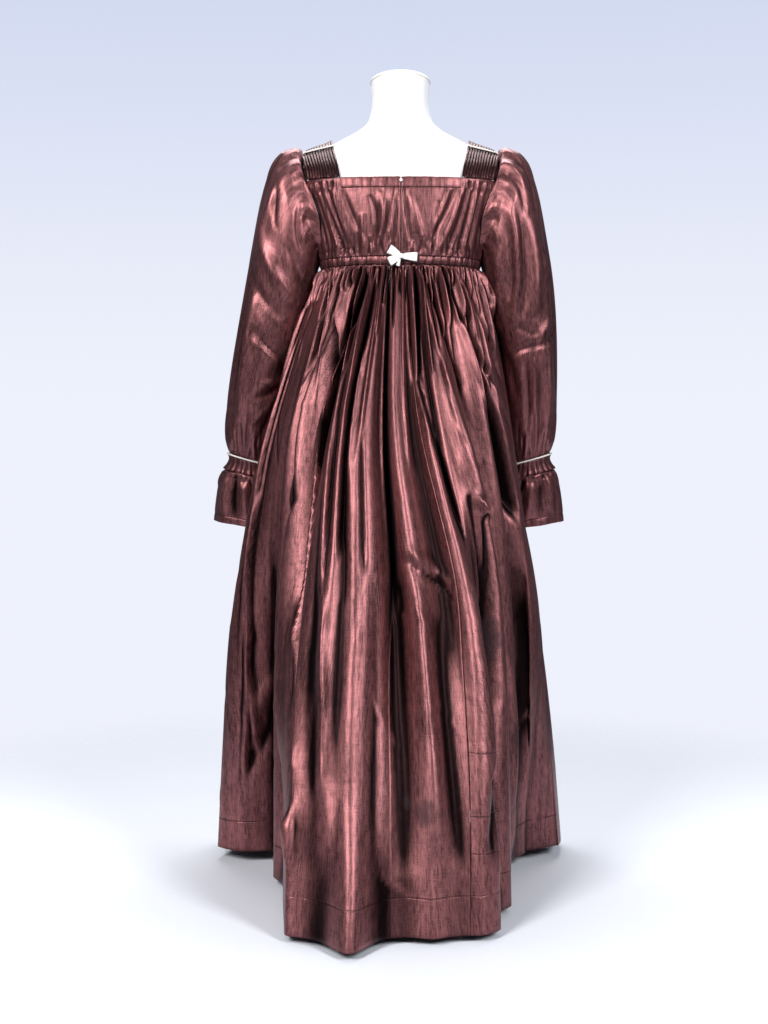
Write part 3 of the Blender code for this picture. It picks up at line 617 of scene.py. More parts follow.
def body_angle(y, z, out):
    """Angle of the body ring's point at depth y, on the +X side."""
    square = body("square", z)
    depth = np.where(y > 0, body("back", z), body("front", z)) + out
    return np.arccos(np.clip(power(y / depth, square / 2), -1, 1))


def armhole_depth(z):
    """Half depth of the armhole oval at height z, 0 below it."""
    return ARM_DEEP * np.sqrt(np.maximum(0.0, 1 - ((z - ARM_Z) / ARM_HIGH) ** 2))


def mirrored(points, side):
    """Points of the gown's left, or their mirror images with the columns turned round."""
    placed = points * np.array([side, 1.0, 1.0])
    placed[..., 0] += lean(points[..., 2])
    return placed if side > 0 else placed[:, ::-1]


def as_side(values, side):
    """A grid of values in the column order of mirrored points."""
    return values if side > 0 else values[:, ::-1]


def back_grid():
    """A bodice back before its pleats: body rings from centre back to the armhole."""
    z = np.linspace(NECK_BACK, BODICE_FOOT, 72)[:, None]
    armhole = armhole_depth(z)
    last = body_angle(np.maximum(armhole, 1e-6), z, CLOTH_OUT)
    half = body("half", z)
    first = (GAP / half) ** (body("square", z) / 2)
    share = np.linspace(0, 1, 112)[None, :] ** 1.1
    ring = body_ring(first + (last - GAP / half - first) * share, z + 0 * share, CLOTH_OUT)
    ring[..., 0] -= lean(z)
    measure = np.hypot(np.diff(ring[..., 0], axis=1), np.diff(ring[..., 1], axis=1))
    across = np.concatenate([0 * z, np.cumsum(measure, axis=1)], axis=1)
    return ring, across, NECK_BACK - ring[..., 2]


for side, half_name, pleats in ((1, "left", BACK_LEFT), (-1, "right", BACK_RIGHT)):
    ring, across, down = back_grid()
    height = creased(across, down, pleats) + creased(across, down, WAIST_PUCKERS)
    height *= ramp(0.012, 0.026, down)
    height += creased(across, down, YOKE_PUCKERS) * ramp(0.0, 0.008, down) * ramp(0.103, 0.112, across)
    height *= ramp(0.0, 0.004, NECK_BACK - BODICE_FOOT - down)
    ring = ring + outward(ring) * (height + BODICE_LIFT)[..., None]
    piece = surface("bodice_back_of_" + half_name, mirrored(ring, side), as_side(across, side),
                    as_side(down, side), wall=WALL, shade=0.55)
    place(piece, "silk", bodice_silk, "bodice_back_" + half_name)

z = np.linspace(NECK_FRONT, BODICE_FOOT, 56)[:, None]
armhole = armhole_depth(z)
first = body_angle(-np.maximum(armhole, 1e-6), z, CLOTH_OUT)
edge = GAP / body("half", z)
share = np.linspace(0, 1, 170)[None, :]
front = body_ring(first + edge + (2 * math.pi - 2 * first - 2 * edge) * share, z + 0 * share, CLOTH_OUT)
across = (share - 0.5) * FRONT_WIDTH + 0 * z
down = NECK_FRONT - front[..., 2]
height = creased(across, down, FRONT_PLEATS) + BODICE_LIFT
height *= ramp(0.0, 0.014, down) * ramp(0.0, 0.004, NECK_FRONT - BODICE_FOOT - down)
piece = surface("bodice_front_panel", front + outward(front) * height[..., None], across, down, wall=WALL)
place(piece, "silk", bodice_silk, "bodice_front")


# ---------------------------------------------------------------- shoulder straps
# Each strap is two strips of silk, back and front, sewn at a seam that lies behind the shoulder's
# crest. The back strip is run in fine lengthwise pleats and frills a little at its foot.

STRAP_INNER = 0.104
STRAP_INNER_TOP = 0.1215
STRAP_OUTER = 0.163
STRAP_OUTER_TOP = 0.180
STRAP_OUTER_FRONT = 0.154
SHOULDER_SEAM = 0.265
SHOULDER_LIFT = 0.012
SHOULDER_GAP = 0.003
STRAP_PLEATS = 12
STRAP_FRILLS = 17
STRAP_WIDTH = 0.06          # of its own measure
STRAP_PLEAT = {"back": 0.0009, "front": 0.0003}
FRILL_DEPTH = 0.0045        # how far up from the strap's foot the frill goes


def strap_edges(share):
    """Half widths of the strap's neck edge and armhole edge at a share of its length."""
    rise = math.sin(math.pi * share)
    inner = STRAP_INNER + (STRAP_INNER_TOP - STRAP_INNER) * rise
    foot = STRAP_OUTER + (STRAP_OUTER_FRONT - STRAP_OUTER) * share
    return inner, foot + (STRAP_OUTER_TOP - foot) * rise


def over_shoulder(x, share, out):
    """Points at half widths x, each a share of the way along its own path over the body."""
    x = np.asarray(x)[:, None]
    z = np.linspace(NECK_FRONT, 1.30, 700)[None, :]
    crest = np.where(body("half", z) + out > x, z, 0.0).max(axis=1, keepdims=True)
    rising = np.clip(z, NECK_BACK + GAP, crest)
    falling = np.minimum(z, crest)[:, ::-1]
    path_y = np.concatenate([depth_at(x, rising, "back", out), -depth_at(x, falling, "front", out)], axis=1)
    path_z = np.concatenate([rising, falling], axis=1) + GAP
    steps = np.hypot(np.diff(path_y, axis=1), np.diff(path_z, axis=1))
    length = np.concatenate([0 * x, np.cumsum(steps, axis=1)], axis=1)
    along = share * length[:, -1]
    found = [(np.interp(a, row, y), np.interp(a, row, z)) for a, row, y, z in
             zip(along, length, path_y, path_z)]
    return np.concatenate([x, np.array(found)], axis=1)


def depth_at(x, z, side, out):
    """Depth of the body's super-ellipse at half width x and height z."""
    square = body("square", z)
    half = body("half", z) + out
    depth = body(side, z) + out
    return depth * np.maximum(0.0, 1 - np.minimum(1.0, np.abs(x) / half) ** square) ** (1 / square)


def lifted(grid, share, column):
    """Raise a strap at the shoulder, most at the armhole, where the sleeve's gathers push it up."""
    grid = grid.copy()
    grid[..., 2] += (0.004 + SHOULDER_LIFT * column ** 1.5) * np.exp(-((share - 0.42) / 0.15) ** 2)
    return grid


# Painted shade: deep darkens the straps' silk strongly all over, a shaded copy of the bodice's silk.
strap_silk = silk("silk_strap", deep=0.62)
column = np.linspace(0, 1, 64)
for side, half_name in HALVES:
    for end, start, stop, flat in (("back", 0.0, SHOULDER_SEAM - SHOULDER_GAP, (0.080, 0.095)),
                                   ("front", SHOULDER_SEAM + SHOULDER_GAP, 1.0, (0.060, 0.195))):
        shares = np.linspace(start, stop, 44)
        edges = [strap_edges(share) for share in shares]
        grid = np.array([over_shoulder(inner + (outer - inner) * column, share, CLOTH_OUT)
                         for share, (inner, outer) in zip(shares, edges)])
        grid = lifted(grid, shares[:, None], column)
        down = np.linspace(0, flat[1], 44)[:, None] + 0 * column
        across = STRAP_WIDTH * column + 0 * down
        wander = 0.35 * np.sin(90 * down + 5 * side) + 0.5 * np.sin(41 * down + 9 * column)
        pleat = np.cos(2 * math.pi * STRAP_PLEATS * column + wander)
        frill = 0.0012 * np.sin(2 * math.pi * STRAP_FRILLS * column + 1.3 * np.sin(9 * column))
        height = STRAP_PLEAT[end] * pleat + frill * np.exp(-(down / FRILL_DEPTH) ** 2) * (end == "back")
        height = height * ramp(0.0, 0.04, column) * ramp(1.0, 0.96, column)
        grid = grid + outward(grid) * height[..., None]
        piece = surface(f"strap_{end}_of_{half_name}", mirrored(grid, side), as_side(across, side),
                        as_side(down, side), wall=WALL)
        place(piece, "silk", strap_silk, f"strap_{end}_{half_name}")


# ---------------------------------------------------------------- neckline band and waist casing
# A flat strip of the same silk finishes the neckline, in two halves behind. Another strip makes the
# casing of the drawstring round the high waist, bunched in fine gathers and open at centre back.

BAND_OUT = CLOTH_OUT + 0.0029
CASING_CROWN = 0.0014       # how far the casing swells at its middle
CASING_OPEN = 0.0012 / 0.14     # half of its opening behind, as an angle
CASING_COLUMNS = 560


def band_grid(x, z, out, side):
    """Points of the body at half widths x and heights z."""
    x, z = np.meshgrid(x, z)
    y = depth_at(x, z, side, out)
    return np.stack([x, y if side == "back" else -y, z], axis=-1)


def band_ripple(across, down, seed):
    """A ripple of a fraction of a millimetre, longer along the band than across it."""
    waves = np.random.default_rng(seed).uniform(0, 6.28, 4)
    return (0.00025 * np.sin(190 * across + waves[0] + 30 * down)
            + 0.0002 * np.sin(470 * across + waves[1]) + 0.0002 * np.sin(61 * across + waves[2]))


z = np.linspace(0, BAND + GAP, 12)
for side, half_name in HALVES:
    x = np.linspace(GAP, STRAP_INNER - GAP, 90)
    grid = band_grid(x, NECK_BACK + GAP - z, BAND_OUT, "back")
    across, down = np.meshgrid(x, z)
    edge_roll = 0.0006 * (np.exp(-(down / 0.0012) ** 2) + np.exp(-((BAND - down) / 0.0014) ** 2))
    height = band_ripple(across, down, 11 + side) - edge_roll
    height -= 0.0010 * np.exp(-(across / 0.004) ** 2)
    grid = grid + outward(grid) * height[..., None]
    piece = surface("neck_band_of_" + half_name, mirrored(grid, side), as_side(across, side),
                    as_side(down, side), wall=WALL)
    place(piece, "silk", bodice_silk, "neck_band_" + half_name)
    "bodice_back_of_" + half_name

x = np.linspace(STRAP_INNER, -STRAP_INNER, 150)
grid = band_grid(x, NECK_FRONT + GAP - z, BAND_OUT, "front")
grid[..., 0] += lean(grid[..., 2])
across, down = np.meshgrid(x, z)
grid = grid + outward(grid) * band_ripple(across, down, 17)[..., None]
piece = surface("neck_band_of_front", grid, across, down, wall=WALL)
place(piece, "silk", bodice_silk, "neck_band_front")

phi = np.linspace(CASING_OPEN, 2 * math.pi - CASING_OPEN, CASING_COLUMNS)[None, :]
share = np.linspace(-1, 1, 13)[:, None]
casing = body_ring(phi, WAIST - share * CASING / 2 + 0 * phi, CLOTH_OUT + CASING_CROWN * (1 - share**2))
chance = np.random.default_rng(23)
beat = np.cumsum(chance.uniform(0.55, 1.45, CASING_COLUMNS))[None, :]
ripple = 0.0006 * np.sin(0.62 * beat) + 0.0005 * np.sin(0.29 * beat + 1.0 + 0.8 * share)
ripple = ripple + 0.0003 * np.sin(1.5 * beat - 1.2 * share)
casing = casing + outward(casing) * ripple[..., None]
across, down = np.meshgrid(np.linspace(0, 1.9, CASING_COLUMNS), np.linspace(0, 0.016, 13))
piece = surface("casing_of_waist", casing, across, down, wall=WALL)
place(piece, "silk", bodice_silk, "waist_casing")


# ---------------------------------------------------------------- sleeves
# Long sleeves, cut full in the head and gathered into the armhole, easing at the elbow and gathered
# again at the wrist. They hang free of the form, with creases where the arm would bend.

SLEEVE = table(
    "outer_x outer_z inner_x inner_z mid_y   deep",
    (0.1840, 1.2715, 0.1475, 1.0825, 0.000, 0.067),
    (0.2080, 1.2650, 0.1500, 1.0750, 0.000, 0.072),
    (0.2300, 1.2370, 0.1540, 1.0630, 0.000, 0.075),
    (0.2480, 1.1810, 0.1590, 1.0460, 0.000, 0.072),
    (0.2640, 1.1010, 0.1670, 1.0180, -0.002, 0.066),
    (0.2770, 1.0270, 0.1760, 0.9780, -0.007, 0.061),
    (0.2880, 0.9480, 0.1870, 0.9200, -0.016, 0.057),
    (0.2970, 0.8700, 0.1980, 0.8560, -0.032, 0.054),
    (0.3020, 0.8060, 0.2080, 0.7930, -0.052, 0.051),
    (0.3020, 0.7600, 0.2150, 0.7450, -0.070, 0.047),
    (0.2970, 0.7320, 0.2220, 0.7110, -0.084, 0.040),
)
ARM_INSET = -0.0045         # the head overlaps the armhole by this much
ARM_OUT = 0.0022            # and lies this far over the bodice
SLEEVE_GIRTH = 0.40         # of the cloth, for its own measure
SLEEVE_LENGTH = 0.60

# Creases across from the outer line (0) by the front (0.10), the inner line (0.20) and the back
# (0.30), and down from the shoulder seam
SLEEVE_LEFT = table(
    CREASE,
    (0.375, 0.015, 0.365, 0.110, 0.004, 0.0060, -0.0045),
    (0.345, 0.012, 0.318, 0.120, 0.006, 0.0060, -0.0050),
    (0.330, 0.012, 0.352, 0.150, 0.000, 0.0080, 0.0060),
    (0.300, 0.015, 0.262, 0.100, 0.000, 0.0060, -0.0040),
    (0.372, 0.130, 0.232, 0.235, 0.010, 0.0150, 0.0080),
    (0.385, 0.190, 0.270, 0.275, 0.012, 0.0110, -0.0065),
    (0.290, 0.120, 0.225, 0.190, 0.000, 0.0100, -0.0060),
    (0.372, 0.200, 0.350, 0.520, -0.006, 0.0150, -0.0070),
    (0.338, 0.240, 0.325, 0.520, 0.006, 0.0120, 0.0080),
    (0.338, 0.255, 0.290, 0.305, 0.000, 0.0030, -0.0030),
    (0.325, 0.262, 0.282, 0.300, 0.000, 0.0030, -0.0030),
    (0.330, 0.312, 0.236, 0.370, 0.006, 0.0070, -0.0070),
    (0.322, 0.335, 0.230, 0.385, 0.004, 0.0070, 0.0060),
    (0.262, 0.372, 0.205, 0.392, 0.000, 0.0060, -0.0110),
    (0.300, 0.430, 0.210, 0.395, 0.006, 0.0080, 0.0060),
    (0.310, 0.470, 0.218, 0.405, 0.006, 0.0070, -0.0060),
    (0.300, 0.520, 0.225, 0.420, 0.006, 0.0080, 0.0060),
    (0.265, 0.540, 0.236, 0.440, 0.004, 0.0070, -0.0060),
    (0.050, 0.100, 0.070, 0.420, 0.010, 0.0180, -0.0060),
    (0.120, 0.160, 0.105, 0.480, 0.008, 0.0200, 0.0060),
    (0.140, 0.360, 0.070, 0.400, 0.006, 0.0100, -0.0070),
    (0.160, 0.200, 0.120, 0.330, 0.000, 0.0140, -0.0060),
)
SLEEVE_RIGHT = table(
    CREASE,
    (0.362, 0.015, 0.350, 0.120, 0.003, 0.0060, -0.0045),
    (0.330, 0.012, 0.322, 0.100, 0.004, 0.0060, -0.0045),
    (0.285, 0.020, 0.268, 0.230, 0.006, 0.0090, -0.0060),
    (0.312, 0.060, 0.282, 0.290, 0.006, 0.0090, -0.0065),
    (0.298, 0.050, 0.272, 0.270, 0.006, 0.0080, 0.0060),
    (0.332, 0.110, 0.312, 0.285, 0.004, 0.0110, 0.0080),
    (0.255, 0.080, 0.235, 0.260, 0.004, 0.0090, 0.0050),
    (0.372, 0.110, 0.378, 0.480, 0.000, 0.0150, -0.0080),
    (0.348, 0.160, 0.352, 0.230, 0.000, 0.0110, 0.0060),
    (0.350, 0.300, 0.300, 0.338, 0.004, 0.0090, 0.0060),
    (0.255, 0.352, 0.330, 0.346, 0.004, 0.0042, -0.0110),
    (0.320, 0.346, 0.380, 0.330, -0.002, 0.0046, -0.0080),
    (0.320, 0.330, 0.270, 0.290, 0.002, 0.0070, -0.0050),
    (0.340, 0.360, 0.335, 0.540, 0.004, 0.0110, 0.0070),
    (0.300, 0.365, 0.302, 0.500, 0.002, 0.0080, 0.0050),
    (0.282, 0.370, 0.290, 0.540, 0.002, 0.0080, -0.0055),
    (0.318, 0.400, 0.318, 0.560, 0.000, 0.0070, -0.0045),
    (0.236, 0.340, 0.262, 0.460, 0.000, 0.0110, -0.0070),
    (0.050, 0.110, 0.066, 0.430, 0.010, 0.0180, -0.0060),
    (0.115, 0.170, 0.110, 0.470, 0.008, 0.0200, 0.0060),
    (0.145, 0.350, 0.075, 0.385, 0.006, 0.0100, -0.0070),
)
HEAD_GATHERS = small_creases(31, 44, (0.0, 0.392), 0.004, (0.018, 0.080), 0.005,
                             (0.0030, 0.0052), (0.0020, 0.0042))
WRIST_GATHERS = small_creases(37, 46, (0.0, 0.392), SLEEVE_LENGTH, (-0.024, -0.130), 0.006,
                              (0.0030, 0.0050), (0.0018, 0.0038))


def section(rows, row, beta):
    """Oval section through a row's outer and inner point; beta runs from the outer point."""
    outer = np.array([rows["outer_x"][row], 0.0, rows["outer_z"][row]])
    inner = np.array([rows["inner_x"][row], 0.0, rows["inner_z"][row]])
    middle = (outer + inner) / 2
    middle[1] = rows["mid_y"][row]
    across = np.array([0.0, rows["deep"][row], 0.0])
    return middle + np.outer(np.cos(beta), (outer - inner) / 2) - np.outer(np.sin(beta), across)


def armhole_ring(beta, out):
    """The sleeve's seam: the armhole oval on the body, drawn in by a seam's gap."""
    y = -(ARM_DEEP - ARM_INSET) * np.sin(beta)
    z = ARM_Z + (ARM_HIGH - ARM_INSET) * np.cos(beta)
    side = np.where(y > 0, body("back", z), body("front", z)) + out
    square = body("square", z)
    half = body("half", z) + out
    x = half * (1 - np.minimum(1.0, np.abs(y) / side) ** square) ** (1 / square)
    return np.stack([x, y, z], axis=-1)


def through(sections, at):
    """Cubic through a stack of sections, read at fractional places in the stack."""
    slope = np.gradient(sections, axis=0)
    row = np.clip(at.astype(int), 0, len(sections) - 2)
    t = (at - row)[:, None, None]
    return hermite(t, sections[row], slope[row], sections[row + 1], slope[row + 1])


def length_along(points):
    """Distance along a path of points to each of them."""
    return np.concatenate([[0.0], np.cumsum(np.linalg.norm(np.diff(points, axis=0), axis=1))])


INNER_SAG = {"left": (0.860, 1.130), "right": (0.920, 1.130)}    # heights where it hangs inwards
SAG = 0.009
SAG_FADE = 0.06
SLEEVE_REACH = (-0.014, 0.007)    # deepest valley and highest ridge
sleeve_silk = silk("silk_sleeve")
beta = np.linspace(0, 2 * math.pi, 129)
sections = np.array([armhole_ring(beta, CLOTH_OUT + ARM_OUT)]
                    + [section(SLEEVE, row, beta) for row in range(len(SLEEVE["deep"]))])
at = np.concatenate([np.linspace(0, 2, 22), np.linspace(2.06, 11, 118)])
for side, half_name, creases in ((1, "left", SLEEVE_LEFT), (-1, "right", SLEEVE_RIGHT)):
    grid = through(sections, at)
    length = length_along(grid.mean(axis=1))
    down = (length / length[-1] * SLEEVE_LENGTH)[:, None] + 0 * beta
    across = beta / (2 * math.pi) * SLEEVE_GIRTH + 0 * down
    height = 0.8 * creased(across, down, creases, SLEEVE_GIRTH)
    height += 0.7 * creased(across, down, HEAD_GATHERS, SLEEVE_GIRTH)
    height += creased(across, down, WRIST_GATHERS, SLEEVE_GIRTH)
    height *= ramp(0.0, 0.012, down) * ramp(0.0, 0.010, SLEEVE_LENGTH - down)
    grid = grid + outward(grid, closed=True) * np.clip(height, *SLEEVE_REACH)[..., None]
    low, high = INNER_SAG[half_name]
    level = grid[..., 2]
    sag = ramp(low, low + SAG_FADE, level) * ramp(high, high - SAG_FADE, level)
    grid[..., 0] -= SAG * sag * (0.5 - 0.5 * np.cos(beta)) ** 2
    piece = surface("sleeve_of_" + half_name, mirrored(grid, side), as_side(across, side),
                    as_side(down, side), joined=True, wall=WALL, shade=0.4)
    place(piece, "silk", sleeve_silk, "sleeve_" + half_name)
    "bodice_back_of_" + half_name


# ---------------------------------------------------------------- wrist bands and cuffs
# Below the wrist a narrow gathered band carries a flared cuff, hemmed at its edge. A small frill of
# the band stands out at the seam.

WRIST_BAND = table(
    "outer_x outer_z inner_x inner_z mid_y   deep",
    (0.2975, 0.7300, 0.2220, 0.7090, -0.0845, 0.040),
    (0.2985, 0.7180, 0.2215, 0.6980, -0.0875, 0.041),
    (0.3075, 0.7030, 0.2155, 0.6830, -0.0927, 0.0455),
)
CUFF = table(
    "outer_x outer_z inner_x inner_z mid_y   deep",
    (0.3080, 0.7020, 0.2150, 0.6820, -0.093, 0.046),
    (0.3180, 0.6780, 0.2120, 0.6600, -0.100, 0.050),
    (0.3250, 0.6440, 0.2130, 0.6260, -0.109, 0.051),
    (0.3300, 0.6060, 0.2140, 0.5890, -0.118, 0.051),
)
WRIST_GAP = 0.0007
CUFF_LENGTH = 0.098
CUFF_HEM = 0.012
CUFF_REACH = (-0.008, 0.006)
CUFF_CREASES = table(
    CREASE,
    (0.290, 0.006, 0.270, 0.050, 0.003, 0.0060, -0.0050),
    (0.250, 0.006, 0.262, 0.060, 0.003, 0.0060, 0.0045),
    (0.330, 0.006, 0.318, 0.090, 0.002, 0.0110, -0.0050),
    (0.232, 0.010, 0.225, 0.085, 0.002, 0.0070, -0.0060),
    (0.355, 0.010, 0.345, 0.080, 0.000, 0.0090, 0.0045),
    (0.306, 0.020, 0.285, 0.095, 0.003, 0.0100, 0.0055),
    (0.100, 0.006, 0.115, 0.080, 0.003, 0.0080, -0.0050),
    (0.060, 0.008, 0.050, 0.090, 0.002, 0.0090, 0.0045),
    (0.160, 0.006, 0.170, 0.070, 0.002, 0.0070, -0.0050),
    (0.020, 0.010, 0.010, 0.090, 0.002, 0.0080, -0.0040),
)
CUFF_GATHERS = small_creases(41, 30, (0.0, 0.392), 0.002, (0.012, 0.045), 0.004,
                             (0.0028, 0.0046), (0.0016, 0.0034))
cuff_silk = silk("silk_cuff", lines=((CUFF_LENGTH - CUFF_HEM, -1.0, 1.0),))
for side, half_name in HALVES:
    stack = np.array([section(WRIST_BAND, row, beta) for row in range(3)])
    grid = through(stack, np.linspace(0, 2, 16)) - np.array([0.0, 0.0, WRIST_GAP])
    share = np.linspace(0, 1, 16)[:, None]
    wave = np.sin(26 * beta + 1.1 * np.sin(3 * beta)) + 0.6 * np.sin(41 * beta + 2.0 * share)
    tufts = np.exp(-((share - 0.05) / 0.10) ** 2) + 0.8 * np.exp(-((share - 0.95) / 0.12) ** 2)
    out = 0.0008 * wave * (0.5 + share) + 0.0012 * tufts * (1 + 0.6 * np.sin(9 * beta + 2))
    grid = grid + outward(grid, closed=True) * out[..., None]
    across, down = np.meshgrid(beta / (2 * math.pi) * SLEEVE_GIRTH, np.linspace(0, 0.028, 16))
    piece = surface("band_of_wrist_" + half_name, mirrored(grid, side), as_side(across, side),
                    as_side(down, side), joined=True, wall=WALL)
    place(piece, "silk", cuff_silk, "wrist_band_" + half_name)
    "sleeve_of_" + half_name

    stack = np.array([section(CUFF, row, beta) for row in range(4)])
    grid = through(stack, np.linspace(0, 3, 46)) - np.array([0.0, 0.0, 2 * WRIST_GAP])
    across, down = np.meshgrid(beta / (2 * math.pi) * SLEEVE_GIRTH, np.linspace(0, CUFF_LENGTH, 46))
    height = creased(across + 0.012 * (side < 0), down, CUFF_CREASES, SLEEVE_GIRTH)
    height += creased(across, down, CUFF_GATHERS, SLEEVE_GIRTH) + 0.0012 * np.sin(7 * beta + side)
    height -= 0.0008 * np.exp(-((down - CUFF_LENGTH + CUFF_HEM) / 0.0015) ** 2)
    height *= ramp(0.0, 0.006, down)
    grid = grid + outward(grid, closed=True) * np.clip(height, *CUFF_REACH)[..., None]
    piece = surface("cuff_of_" + half_name, mirrored(grid, side), as_side(across, side),
                    as_side(down, side), joined=True, wall=WALL)
    place(piece, "silk", cuff_silk, "cuff_" + half_name)
    "band_of_wrist_" + half_name


# ---------------------------------------------------------------- piping
# White cotton piping cord, in a cover of the same cotton. It is caught into each shoulder seam, and
# into the seam round each wrist, where it stands out from the silk.

PIPE_RADIUS = 0.0015
WRIST_PIPE_OUT = 0.0022     # of the cord's inner side, off the wrist seam
SHOULDER_PIPE_AT = np.array([0.0, 0.0008, 0.0012])


def piping_cotton():
    """Covered cord: an off-white cotton with a slanting ply that shows as relief."""
    finish = Finish("piping_cotton", {"Specular IOR Level": 0.3})
    here, cloth = finish.coordinates()
    ply = finish.node("TexWave", {"wave_type": "BANDS", "bands_direction": "DIAGONAL"},
                      {"Vector": finish.node("Mapping", None, {"Vector": cloth, "Scale": (1, 420, 1)})
                       .outputs[0], "Scale": 1.0, "Distortion": 0.6})
    ply = Value(finish, ply.outputs["Fac"])
    cloud = finish.noise(here, 120.0)
    colour = finish.mix(0.5 * cloud + 0.4 * ply, (0.66, 0.61, 0.54, 1), (0.88, 0.85, 0.80, 1))
    finish.fill(finish.shader.inputs["Base Color"], colour)
    finish.fill(finish.shader.inputs["Roughness"], 0.65 + 0.15 * cloud)
    finish.relief(ply + 0.5 * cloud, 0.35, 0.0004)
    return finish.material


def away_from_middle(ring):
    """Unit vectors from a ring's middle to its points."""
    away = ring - ring.mean(axis=0)
    return away / np.linalg.norm(away, axis=1)[:, None]


def cord_measures(points):
    """The cord's own measures: round it in metres and along it in metres."""
    along = length_along(points)
    round_it = np.linspace(0, 2 * math.pi * PIPE_RADIUS, CORD_SIDES + 1)
    return round_it[None, :] + 0 * along[:, None], along[:, None] + 0 * round_it[None, :]


cotton = piping_cotton()
inner, outer = strap_edges(SHOULDER_SEAM)
for side, half_name in HALVES:
    ring = section(WRIST_BAND, 0, beta)
    ring = ring + away_from_middle(ring) * (PIPE_RADIUS + WRIST_PIPE_OUT)
    path = mirrored(ring[None], side)[0]
    piece = surface("piping_of_wrist_" + half_name, cord_grid(path, PIPE_RADIUS, True),
                    *cord_measures(path), joined=True)
    place(piece, "cord", cotton, "wrist_piping_" + half_name)

    x = np.linspace(inner, outer - 2 * PIPE_RADIUS, 40)
    path = over_shoulder(x, SHOULDER_SEAM, CLOTH_OUT)
    path = path + SHOULDER_PIPE_AT + np.array([0.0, 0.0, PIPE_RADIUS])
    path = lifted(path, SHOULDER_SEAM, np.linspace(0, 1, 40))
    path = mirrored(path[None], side)[0]
    tube = cord_grid(path, PIPE_RADIUS, False)
    ends = [path[0] + 0 * tube[:1], path[-1] + 0 * tube[:1]]
    measures = [np.concatenate([m[:1], m, m[-1:]]) for m in cord_measures(path)]
    piece = surface("piping_of_shoulder_" + half_name, np.concatenate([ends[0], tube, ends[1]]),
                    *measures, joined=True)
    place(piece, "cord", cotton, "shoulder_piping_" + half_name)


# ---------------------------------------------------------------- skirt
# Four breadths, seamed down their sides and bunched into the waist casing, most of all behind. The
# fullness falls in long tubes that open out into the hem and its short train. The back breadth is
# slit under the bow, in the deepest fold.

HEM = 0.012
HEM_RISE = 0.010
SLIT_END = 0.560
HEM_DEPTH = 0.056
GIRTH = 2.27                # of the hem's cloth
SEAM_GAP = 0.0006
SKIRT = table(
    "z      half    mid_y  back   front  reach  train",
    (1.065, 0.1400, 0.000, 0.100, 0.105, 0.000, 0.110),
    (0.953, 0.1740, 0.005, 0.125, 0.112, 0.020, 0.125),
    (0.828, 0.2040, 0.012, 0.126, 0.130, 0.058, 0.150),
    (0.594, 0.2490, 0.020, 0.105, 0.156, 0.150, 0.172),
    (0.376, 0.2840, 0.020, 0.078, 0.195, 0.245, 0.184),
    (0.211, 0.3010, 0.020, 0.055, 0.225, 0.325, 0.186),
    (0.012, 0.3160, 0.020, 0.040, 0.255, 0.395, 0.186),
)
SKIRT_SQUARE = 2.2
TRAIN_EDGE_LEFT = 0.022
TRAIN_EDGE_RIGHT = 0.052
TRAIN_LEFT = -0.009
GATHER = table(
    "cloth waist",
    (0.00, 0.000),
    (0.06, 0.038),
    (0.12, 0.078),
    (0.24, 0.172),
    (0.36, 0.300),
    (0.50, 0.500),
)
GATHER_SHIFT = 0.045
GATHER_END = 0.45
SKIRT_TOP = WAIST - CASING / 2 - 2 * GAP
HEM_RISE_FROM = (0.17, 0.25)    # shares of the hem between which its edge rises
BEHIND = 0.34               # share of the hem up to which the gathers are those of the back
FOLD_FADE = 0.06            # over which a wandering fold fades at its ends
FOLD_SHADE_DEPTH = 0.013          # depth of a wandering fold whose valley takes the fullest painted shade
FOLD_SHADE_START = 0.10
RIGHT_OF_SLIT = 60          # columns
LEFT_OF_SLIT = 190
SKIRT_SHADE = 1.7
CENTRE_FRONT = 0.49999      # share at which the ring closes

# Where the slit and the two seams behind run, as shares of the hem from centre back
SEAM_LINES = table(
    "z      slit    right   left",
    (1.058, -0.003, -0.060, 0.205),
    (0.960, -0.010, -0.062, 0.198),
    (0.823, -0.013, -0.065, 0.196),
    (0.661, -0.010, -0.069, 0.200),
    (0.548, -0.006, -0.070, 0.208),
    (0.441, 0.000, -0.067, 0.218),
    (0.204, 0.000, -0.061, 0.218),
    (0.012, 0.000, -0.055, 0.214),
)
SEAM_FRONT = 0.360

